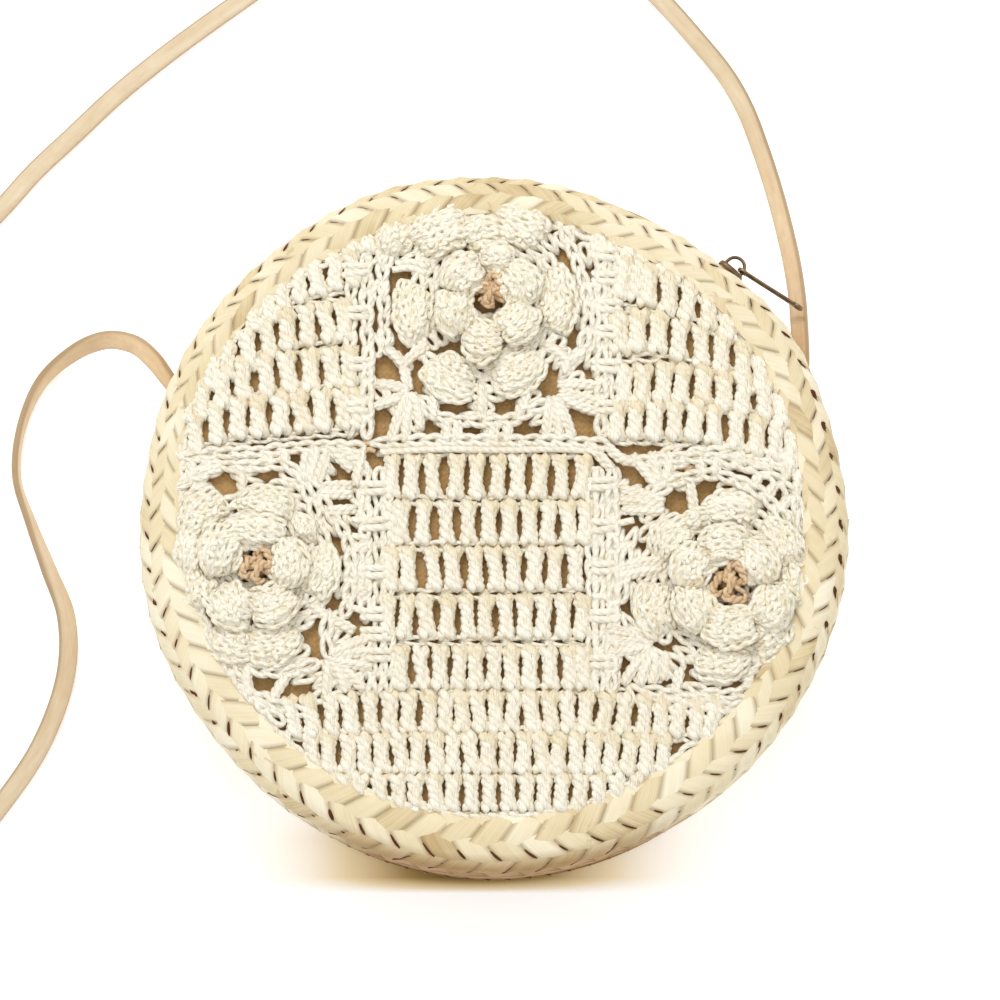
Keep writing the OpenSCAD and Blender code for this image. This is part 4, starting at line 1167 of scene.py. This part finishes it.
# ------------------------------------------------------------------ cloth inside the band
def cloth_wall(name, th0, th1, z0, z1, body, nodes, keep=None, seed=0):
    g = np.random.default_rng(seed)
    n, m = int((th1 - th0) * 107 / 3.2) + 2, max(6, int((z1 - z0) / 3.2))
    th = np.linspace(th0, th1, n)
    z = np.linspace(z0, z1, m)
    ph = g.uniform(0, TAU, 6)
    T, Z = np.meshgrid(th, z, indexing="ij")
    r = cad_band_r(Z) - edge_in(T) * 0.9 - foot_in(T, Z) - upper_in(T, Z) - 4.8
    hem = np.minimum(1, np.minimum(Z - z0, z1 - Z) / 6)
    r = r + hem * (0.28 * np.sin(31 * T + ph[0] + 0.05 * Z) + 0.2 * np.sin(57 * T + ph[1] - 0.09 * Z) - 0.35)
    outer = np.stack([r * np.sin(T), r * np.cos(T), Z], -1)
    rin = r - 0.5
    inner = np.stack([rin * np.sin(T), rin * np.cos(T), Z], -1)
    b = Build()
    b.loft(np.concatenate([outer, inner[:, ::-1]], 1), tint=0.5, caps=False)
    here = b.v[-1][b.q[-1]].mean(1)
    keep_ = not_in_slit(np.arctan2(here[:, 0], here[:, 1]), here[:, 2])
    b.q[-1], b.quv[-1], b.qm[-1] = b.q[-1][keep_], b.quv[-1][keep_], b.qm[-1][keep_]
    # end faces, on the vertices of the first and the last ring
    for first, flip in ((0, False), ((n - 1) * 2 * m, True)):
        quads = [[j, 2 * m - 1 - j, 2 * m - 2 - j, j + 1][::-1 if flip else 1] for j in range(m - 1)]
        b.q.append(np.array(quads) + first)
        b.quv.append(np.zeros((m - 1, 4, 2)))
        b.qm.append(np.zeros(m - 1, int))
    # a line of stitches along both hems
    for zz in (z0 + 2.2, z1 - 2.2):
        for t0 in np.arange(th0 + 0.02, th1 - 0.02, 0.036):
            tt = np.linspace(t0, t0 + 0.024, 4)
            rr = cad_band_r(zz) - edge_in(tt) * 0.9 - foot_in(tt, zz) - upper_in(tt, zz) - 5.45
            tube(b, np.stack([rr * np.sin(tt), rr * np.cos(tt), np.full(4, zz)], -1), [0.12, 0.2, 0.2, 0.12], 5, tint=0.9)
    ob = leaf_piece(name, b, LINING, body, nodes)
    area_ = (th1 - th0) * float(np.mean(cad_band_r(z)) - 5) * (z1 - z0) * 1e-6
    return ob, area_, (th1 - th0) * 104 * MM, (z1 - z0) * MM


WALLS = [cloth_wall("band_lining_cloth", ZIP_EDGE, TAU - ZIP_EDGE, 4.0, 71.9, "root", ["band_lining"], seed=1),
         cloth_wall("upper_lining_front_cloth", -ZIP_EDGE + 0.005, ZIP_EDGE - 0.005, 50.4, 71.9, "lip", ["upper_lining_front"], seed=2),
         cloth_wall("upper_lining_back_cloth", -ZIP_EDGE + 0.005, ZIP_EDGE - 0.005, 4.0, 33.6, "root", ["upper_lining_back"], seed=3)]

b = Build()
rr = np.concatenate([[0.4], np.linspace(6, 97, 17)])
th = np.linspace(0, TAU, 97)[:-1]
z = 2.95 + 0.13 * np.sin(5 * th)[:, None] * (rr / 97)[None, :] + 0.12 * np.sin(rr / 7)[None, :]
grid = np.stack([rr[None] * np.sin(th)[:, None], rr[None] * np.cos(th)[:, None], z + 0.2], -1)
under = grid.copy()
under[:, :, 2] -= 0.4
b.loft(np.concatenate([grid, under[:, ::-1]], 1), closed=True, tint=0.5)
back_cloth = leaf_piece("back_lining_cloth", b, LINING, "root", ["back_lining"])

# ------------------------------------------------------------------ back panel
BR = 102.6
b = Build()
g = np.random.default_rng(21)
PITCH = 8.2
vs = np.array([-0.5, -0.25, 0, 0.25, 0.5])
ks = np.arange(-13, 14)
for fam in (0, 1):
    for k in ks:
        c0 = (k + 0.5) * PITCH
        w = PITCH * 0.97
        tops, bots, uvs = [], [], []
        n = 160
        s_ = np.linspace(-1, 1, n)
        tint_ = float(np.clip(g.normal(0.55, 0.22), 0.03, 0.97))
        wav = g.normal(0, 0.12)
        if abs(c0) + w / 2 > BR - 4:
            continue
        for v in vs:
            c = c0 + v * w
            half = math.sqrt(max(BR ** 2 - c * c, 0.01))
            a = s_ * half
            q = a / PITCH
            over = np.cos(math.pi * (q - k)) * (1 if fam else -1)
            over = np.sign(over) * np.abs(over) ** 0.55
            h = 1.05 + 0.42 * over + 0.08 * (1 - 4 * v * v) * np.sign(over)
            x, y = (a, c + wav * np.sin(a / 30)) if fam else (c + wav * np.sin(a / 30), a)
            x, y = (x - y) / math.sqrt(2), (x + y) / math.sqrt(2)
            tops.append(np.stack([x, y, h + 0.17], -1))
            bots.append(np.stack([x, y, h - 0.17], -1))
            uvs.append(np.stack([a / 10 + k, np.full(n, v)], -1))
        edge = np.concatenate([np.abs(vs) > 0.45, np.abs(vs[::-1]) > 0.45]) * 1.0
        b.loft(np.stack(tops + bots[::-1], 1), uv=np.stack(uvs + uvs[::-1], 1), tint=tint_, edge=np.tile(edge, n))
# folded strips round its edge
for i in range(72):
    th0 = i * TAU / 72
    f = np.linspace(0, 1, 9)
    tops, bots, uvs = [], [], []
    vs2 = np.array([-0.54, -0.3, 0, 0.3, 0.54])
    for v in vs2:
        r = 94.5 + 8.4 * f + 0.4 * v
        a = th0 + f * 8.4 / 100 + v * TAU / 72
        h = 0.42 + 0.24 * (v + 0.5) + 0.95 * np.clip(f - 0.72, 0, 1) / 0.28 * 0.9 + 0.5 * np.exp(-(f / 0.12) ** 2)
        tops.append(np.stack([r * np.sin(a), r * np.cos(a), h + 0.15], -1))
        bots.append(np.stack([r * np.sin(a), r * np.cos(a), h - 0.15], -1))
        uvs.append(np.stack([f * 1.2 + i, np.full(9, v)], -1))
    edge = np.concatenate([np.abs(vs2) > 0.5, np.abs(vs2[::-1]) > 0.5]) * 1.0
    b.loft(np.stack(tops + bots[::-1], 1), uv=np.stack(uvs + uvs[::-1], 1), tint=float(np.clip(g.normal(0.5, 0.2), 0, 1)), edge=np.tile(edge, 9))
# a thin woven core keeps the light out between the strips
th = np.linspace(0, TAU, 121)[:-1]
rr = np.array([0.3, 30, 60, 85, 101.5])
core = np.stack([rr[None] * np.sin(th)[:, None], rr[None] * np.cos(th)[:, None], np.full((120, 5), 1.75)], -1)
low = core.copy()
low[:, :, 2] -= 0.25
b.loft(np.concatenate([core, low[:, ::-1]], 1), closed=True, tint=0.3)


def drawn_in(v):
    """Points of the back, moved in with the foot of the band."""
    r, a = np.hypot(v[:, 0], v[:, 1]), np.arctan2(v[:, 0], v[:, 1])
    k = 1 - 0.8 * near_deg(a, 180, 75) * np.clip((r - 60) / 40, 0, 1) / np.maximum(r, 1)
    return v * np.stack([k, k, 1 + 0 * k], -1)


b.v = [drawn_in(v) for v in b.v]
leaf_piece("back_panel_plait", b, LEAF_BAND_SHADED, "root", ["back_panel"])

# whip stitches of leaf strip over the seam between back and band
b = Build()
for i in range(100):
    t0 = i * TAU / 100
    f = np.linspace(0, 1, 7)
    prof = smooth_path([(100.6, 0.28), (102.4, 0.3), (103.4, 0.9), (103.75, 2.4), (104.1, 4.6)], 3)
    pr = resample(prof, 0.9)
    n = len(pr)
    a = t0 + np.linspace(0, 0.028, n)
    r = pr[:, 0] - edge_in(a) * 0.9 * np.clip(pr[:, 1] / 4, 0, 1) - foot_in(a, pr[:, 1])
    tube(b, np.stack([r * np.sin(a), r * np.cos(a), pr[:, 1]], -1), np.interp(np.arange(n), [0, 1, n - 2, n - 1], [0.15, 0.42, 0.42, 0.15]), 6, flat=0.55, tint=g.uniform(0.2, 0.9))
th = np.linspace(0, TAU, 181)[:-1]
tube(b, drawn_in(np.stack([103.2 * np.sin(th), 103.2 * np.cos(th), np.full(180, 1.5)], -1)), 0.5, 6, closed=True, tint=0.3)
leaf_piece("back_seam_stitches", b, LEAF_BAND_SHADED, "root", ["back_thread"])


# ------------------------------------------------------------------ zip
def prism(build, outline, x_axis, y_axis, z_axis, origin, d0, d1, bevel=0.2, tint=0.5):
    """A plate with bevelled edges: outline (n, 2) in x and y, from d0 to d1 along z."""
    o = np.asarray(outline, float)
    c = o.mean(0)
    size = np.abs(o - c).max(0)
    k = 1 - bevel / np.maximum(size, 0.2)
    rings = []
    for d, kk in ((d0, k), (d0 + bevel * 0.4, 1 - (1 - k) * 0.35), (d0 + bevel, 1), (d1 - bevel, 1), (d1 - bevel * 0.4, 1 - (1 - k) * 0.35), (d1, k)):
        q = c + (o - c) * kk
        rings.append(np.asarray(origin) + q[:, :1] * np.asarray(x_axis) + q[:, 1:] * np.asarray(y_axis) + d * np.asarray(z_axis))
    build.loft(np.array(rings), tint=tint)


def on_zip(deg, r=109.2, z=42.0):
    """Origin and axes at an angle on the zip: along it (clockwise), outwards, up."""
    a = math.radians(deg)
    out = np.array([math.sin(a), math.cos(a), 0])
    return np.array([out[0] * r, out[1] * r, z]), np.array([math.cos(a), -math.sin(a), 0]), out, np.array([0, 0, 1.0])


def round_rect(w, h, r, n=3):
    pts = []
    for sx, sy, a0 in ((1, 1, 0), (-1, 1, 90), (-1, -1, 180), (1, -1, 270)):
        for i in range(n + 1):
            a = math.radians(a0 + 90 * i / n)
            pts.append((sx * (w / 2 - r) + r * math.cos(a), sy * (h / 2 - r) + r * math.sin(a)))
    return pts


def tape(name, side, body, nodes):
    b = Build()
    ro, rs = 109.5, 106.5
    line = [(ro, 3.4), (ro, 4.9), (rs, 7.9), (rs - 0.4, 12.2), (rs - 1.0, 12.2), (rs - 0.6, 7.6), (ro - 0.6, 4.6), (ro - 0.6, 3.4)]
    th = np.radians(np.linspace(-51.2, 51.2, 150))
    rings = []
    for t in th:
        inn = float(edge_in(t)) * 0.9
        rings.append([((r - inn * (1 if z > 7 else 0.0)) * math.sin(t), (r - inn * (1 if z > 7 else 0.0)) * math.cos(t), 42 + side * z) for r, z in line])
    rings = np.array(rings)
    b.loft(rings if side > 0 else rings[:, ::-1], tint=0.5)
    # sewing thread along the tape
    for t0 in np.arange(-50.5, 50.5, 1.5):
        tt = np.radians(np.linspace(t0, t0 + 1.05, 4))
        r = 108.1 + 0.35
        tube(b, np.stack([r * np.sin(tt), r * np.cos(tt), np.full(4, 42 + side * 6.45)], -1), [0.1, 0.2, 0.2, 0.1], 5, tint=0.9)
    return leaf_piece(name, b, TAPE, body, nodes)


tape("zip_tape_front_cloth", 1, "lip", ["zip_tape_front"])
tape("zip_tape_back_cloth", -1, "root", ["zip_tape_back"])


def teeth(name, side, body, nodes):
    b = Build()
    for i in range(60):
        deg = -47.5 + 0.4 + (i + (0.25 if side > 0 else 0.75)) * (95 - 0.8) / 60
        o, x, out, up = on_zip(deg)
        up = up * side
        # clamped foot, narrow neck and a wider nose
        sect = [(0.62, 0.85, 3.45), (0.66, 0.98, 3.1), (0.64, 1.0, 2.4), (0.46, 0.8, 1.9), (0.46, 0.8, 1.4), (0.60, 0.92, 0.9), (0.58, 0.86, 0.35), (0.40, 0.55, 0.05)]
        rings = []
        for hw, hd, z in sect:
            q = np.array(round_rect(2 * hw, 2 * hd, 0.28, 2))
            rings.append(o + q[:, :1] * x + q[:, 1:] * out + z * up)
        rings = np.array(rings)
        b.loft(rings if side > 0 else rings[:, ::-1], tint=0.5)
    th = np.radians(np.linspace(-47.5, 47.5, 121))
    tube(b, np.stack([109.2 * np.sin(th), 109.2 * np.cos(th), np.full(121, 42 + side * 3.3)], -1), 0.55, 6, tint=0.2)
    return leaf_piece(name, b, BRONZE, body, nodes)


teeth("zip_teeth_front_row", 1, "lip", ["zip_teeth_front"])
teeth("zip_teeth_back_row", -1, "root", ["zip_teeth_back"])

b = Build()
for deg, z0, z1 in ((49.4, -3.3, 3.1), (-49.4, -3.3, -0.3), (-49.4, 0.3, 3.1)):
    o, x, out, up = on_zip(deg)
    q = np.array(round_rect(1.9, 2.3, 0.5, 3))
    zs = [z0, z0 + 0.15, z0 + 0.5, z1 - 0.5, z1 - 0.15, z1]
    ks_ = [0.6, 0.88, 1, 1, 0.88, 0.6]
    b.loft(np.array([o + k_ * q[:, :1] * x + k_ * q[:, 1:] * out + zz * up for zz, k_ in zip(zs, ks_)]), tint=0.5)
leaf_piece("zip_stop_crimps", b, BRONZE, "root", ["zip_stops"])

# slider: two bevelled shields, side flanges, the neck between them and a bridge for the pull
o, x, out, up = on_zip(41.6)
shield = []
for i in range(28):
    a = i / 28 * TAU
    cx_, cy_ = math.cos(a), math.sin(a)
    n_ = (abs(cx_) ** 3.4 + abs(cy_) ** 3.4) ** (-1 / 3.4)
    X, Y = 4.5 * n_ * cx_, 4.6 * n_ * cy_
    Y *= 1 - 0.10 * (X > 0) * (X / 4.5) ** 2
    shield.append((X, Y))
b = Build()
prism(b, shield, x, up, out, o, 1.4, 3.25, 0.42)
prism(b, shield, x, up, out, o, -2.8, -1.4, 0.42)
for s_z in (-1, 1):
    for d0, d1 in ((0.62, 1.6), (-1.6, -0.62)):
        prism(b, np.array(round_rect(6.8, 0.9, 0.25, 2)) + (0, s_z * 4.12), x, up, out, o, d0, d1, 0.15)
prism(b, np.array(round_rect(1.3, 1.0, 0.3, 2)) + (3.8, 0), x, up, out, o, -1.6, 1.6, 0.05)
# raised rib on the outer shield
rib = [o + X * x + out * 3.28 + Z * up for X, Z in [(-3.2, 2.4), (-3.4, 0), (-3.2, -2.4), (0, -3.1), (3.0, -2.4), (3.3, 0), (3.0, 2.4), (0, 3.1)]]
tube(b, smooth_path(np.array(rib), 4, closed=True), 0.22, 6, closed=True)
slider = b.done("zip_slider", BRONZE)
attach(slider, "slider")
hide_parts("slider_body")

b = Build()
pts = [o + X * x + Y * out for X, Y in [(-3.0, 3.05), (-3.02, 4.4)]]
pts += [o + 3.0 * math.cos(a) * x + (4.8 + 3.0 * math.sin(a)) * out for a in np.radians(np.linspace(180, 0, 21))]
pts += [o + X * x + Y * out for X, Y in [(3.02, 4.4), (3.0, 3.05)]]
pts = np.array(pts)
t_, n_, b_ = carried(pts)
ang_ = np.arange(8) / 8 * TAU
rad_ = np.full(len(pts), 0.55)
rad_[0] = rad_[-1] = 0.8
rings = pts[:, None] + rad_[:, None, None] * (np.cos(ang_)[None, :, None] * b_[:, None] * 1.0 + 1.35 * np.sin(ang_)[None, :, None] * n_[:, None])
b.loft(rings, tint=0.5)
crown = b.done("zip_crown", BRONZE)
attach(crown, "slider")
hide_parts("slider_crown")

# pull tab: rounded plate with an eye at each end and a raised border
piv = o + 4.8 * out
ca, sa = math.cos(math.radians(8)), math.sin(math.radians(8))
tx = ca * x + sa * out
tn = -sa * x + ca * out
b = Build()


def tab_half(u):
    """Half width of the tab at the distance u from the pivot."""
    e0, e1 = 3.0, 23.3
    return 1.32 + 0.5 * math.exp(-(((u - e0) / 1.6) ** 2)) + 0.55 * math.exp(-(((u - e1) / 2.0) ** 2))


def ringed(cu, rad, outer_pts):
    """A flat annulus joined from a hole to the outer line, both with the same number of points."""
    n = len(outer_pts)
    rings = []
    hole = [(cu + rad * math.cos(a), rad * math.sin(a)) for a in np.arange(n) / n * TAU]
    inner, outer = np.array(hole), np.array(outer_pts)
    k_in, k_out = 1 + 0.14 / rad, 0.94
    cc = np.array([cu, 0.0])
    layers = [(inner, -0.33), (cc + (inner - cc) * k_in, -0.45), (cc + (outer - cc) * k_out, -0.45), (outer, -0.31), (outer, 0.31), (cc + (outer - cc) * k_out, 0.45),
              (cc + (inner - cc) * k_in, 0.45), (inner, 0.33)]
    g_ = np.array([piv + q[:, :1] * tx + q[:, 1:] * up + d * tn for q, d in layers])
    b.loft(np.transpose(g_, (1, 0, 2)), closed=True, tint=0.5)


def around(cu, r_out, cut, sign):
    """Outer points round an eye, cut straight at u = cut."""
    pts = []
    for a in np.arange(28) / 28 * TAU:
        u, w = cu + r_out * math.cos(a), r_out * math.sin(a)
        if (u - cut) * sign > 0:
            k_ = (cut - cu) / (u - cu)
            u, w = cut, w * k_ if abs(k_) < 1 else w
        pts.append((u, w))
    return pts


ringed(3.0, 0.95, around(3.0, 1.9, 4.4, 1))
ringed(23.3, 0.9, around(23.3, 1.9, 21.9, -1))
us = np.linspace(4.1, 22.2, 25)
rings = []
for u in us:
    hw = min(tab_half(u), 1.75)
    rings.append([piv + u * tx + w * up + d * tn for w, d in [(-hw, -0.28), (-hw + 0.2, -0.43), (hw - 0.2, -0.43), (hw, -0.28), (hw, 0.28), (hw - 0.2, 0.43), (-hw + 0.2, 0.43), (-hw, 0.28)]])
b.loft(np.array(rings), tint=0.5)
for sg in (-1, 1):
    line = [piv + u * tx + w * up + sg * 0.40 * tn for u, w in [(6.0, 0.6), (6.0, -0.6), (13, -0.75), (19.8, -0.85), (20.5, 0), (19.8, 0.85), (13, 0.75)]]
    tube(b, smooth_path(np.array(line), 3, closed=True), 0.13, 5, closed=True)
tab = b.done("zip_pull_tab", BRONZE)
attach(tab, "pull")
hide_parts("pull_tab")

# ------------------------------------------------------------------ leather patches and rivets behind the strap's ends
PATCH_R = 109.5 - 4.4 - 0.8 - 0.3
for nm, deg, node_ in (("strap_patch_right", 76, "strap_tab_right"), ("strap_patch_left", -76, "strap_tab_left")):
    b = Build()
    ol = np.array(round_rect(17.6, 11.6, 2.6, 6))
    rings = []
    for d, k_ in ((0.0, 0.985), (0.12, 1.0), (1.3, 1.0), (1.52, 0.975), (1.58, 0.94)):
        q = ol * k_
        a = math.radians(deg) + q[:, 0] / 104
        r = PATCH_R - d
        rings.append(np.stack([r * np.sin(a), r * np.cos(a), 42 + q[:, 1]], -1))
    uvp = np.stack([np.stack([ol[:, 0] / 10, ol[:, 1] / 12], -1)] * 5)
    b.loft(np.array(rings), uv=uvp, tint=0.35, edge=np.repeat([0.6, 1, 1, 0.5, 0.0], len(ol)))
    per = resample(np.concatenate([ol * 0.84, ol[:1] * 0.84]), 1.25)
    for j in range(0, len(per) - 1, 2):
        seg = np.linspace(per[j], per[j + 1], 4)
        a = math.radians(deg) + seg[:, 0] / 104
        r = PATCH_R - 1.62
        tube(b, np.stack([r * np.sin(a), r * np.cos(a), 42 + seg[:, 1]], -1), [0.12, 0.22, 0.22, 0.12], 5, tint=0.0, edge=0.0)
    ob = b.done(nm, LEATHER)
    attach(ob, "root")
    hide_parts(node_)

b = Build()
for sx in (1, -1):
    # the axis of the rivet runs in through strap and patch
    ra = math.radians(-sx * 73.4)
    ax = np.array([-math.sin(ra) * -1, -math.cos(ra), 0])
    ax = np.array([-sx * math.sin(math.radians(73.4)), -math.cos(math.radians(73.4)), 0])
    c = np.array([sx * 97.0, 29.0, 42.0])
    e1 = np.array([0, 0, 1.0])
    e2 = np.cross(ax, e1)
    lathe = [(-2.1, 0.3), (-2.1, 1.0), (-1.9, 1.1), (1.0, 1.1), (1.02, 2.45), (1.2, 2.6), (1.6, 2.5), (1.95, 2.0), (2.12, 1.1), (2.16, 0.3)]
    a = np.arange(24) / 24 * TAU
    rings = np.array([c + d * ax + r * (np.cos(a)[:, None] * e1 + np.sin(a)[:, None] * e2) for d, r in lathe])
    b.loft(rings[:, ::-1], tint=0.5)
ob = b.done("strap_rivet_heads", BRONZE)
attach(ob, "root")
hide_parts("strap_rivets")

# ------------------------------------------------------------------ lights and floor
bpy.ops.mesh.primitive_plane_add(size=8, location=(0, 0, -0.0003))
floor = bpy.context.object
floor.name = "floor"
s = Nodes("floor_white_painted_shadow")
# the white table glows a little, as if lit from below; round the foot of the bag its colour and glow are darkened to a
# warm painted contact shadow
fx, fy, _ = s.sep(s.coord())
side = s.math("DIVIDE", s.math("ADD", fx, 0.0055), 0.037)
shade = s.math("EXPONENT", s.math("MULTIPLY", s.math("MULTIPLY", side, side), -1.0))
shade = s.math("MULTIPLY", shade, s.math("MULTIPLY", s.math("ADD", fy, 0.1069), 1 / 0.0050, clamp=True))
shade = s.math("MULTIPLY", shade, s.math("MULTIPLY", s.math("SUBTRACT", -0.080, fy), 100.0, clamp=True))
s.link(s.ramp(shade, [(0, (1, 1, 1)), (0.3, (0.5, 0.45, 0.35)), (0.7, (0, 0, 0))]), s.b.inputs["Emission Color"])
s.b.inputs["Emission Strength"].default_value = 0.34
floor_shadow_col = s.ramp(shade, [(0, (0.97, 0.97, 0.965)), (0.25, (0.84, 0.70, 0.44)), (0.5, (0.68, 0.50, 0.235)), (0.75, (0.42, 0.285, 0.105)), (1, (0.16, 0.10, 0.032))])
floor.data.materials.append(s.end(floor_shadow_col, 0.9, None, spec=0.05))

world = bpy.data.worlds.new("studio")
bpy.context.scene.world = world
world.use_nodes = True
sky = world.node_tree
back = sky.nodes["Background"]
back.inputs[0].default_value = (1.0, 0.995, 0.985, 1)
# brighter overhead than near the horizon, as in a light tent with an open front
direction = sky.nodes.new("ShaderNodeTexCoord")
height = sky.nodes.new("ShaderNodeSeparateXYZ")
sky.links.new(direction.outputs["Generated"], height.inputs[0])
span = sky.nodes.new("ShaderNodeMapRange")
span.inputs["From Min"].default_value, span.inputs["From Max"].default_value = 0.0, 1.0
span.inputs["To Min"].default_value, span.inputs["To Max"].default_value = 0.42, 1.25
sky.links.new(height.outputs[2], span.inputs["Value"])
sky.links.new(span.outputs["Result"], back.inputs[1])


def area(name, loc, aim, size, power, col=(1, 1, 1)):
    d = bpy.data.lights.new(name, "AREA")
    d.shape, d.size, d.energy, d.color = "DISK", size, power, col
    o = bpy.data.objects.new(name, d)
    bpy.context.scene.collection.objects.link(o)
    o.location = loc
    o.rotation_mode = "QUATERNION"
    o.rotation_quaternion = (Vector(aim) - Vector(loc)).to_track_quat("-Z", "Y")


area("key", (-0.25, 0.75, 1.1), (0, 0, 0.04), 0.4, 5.6, (1.0, 0.985, 0.95))
bpy.context.scene.view_settings.view_transform = "Standard"
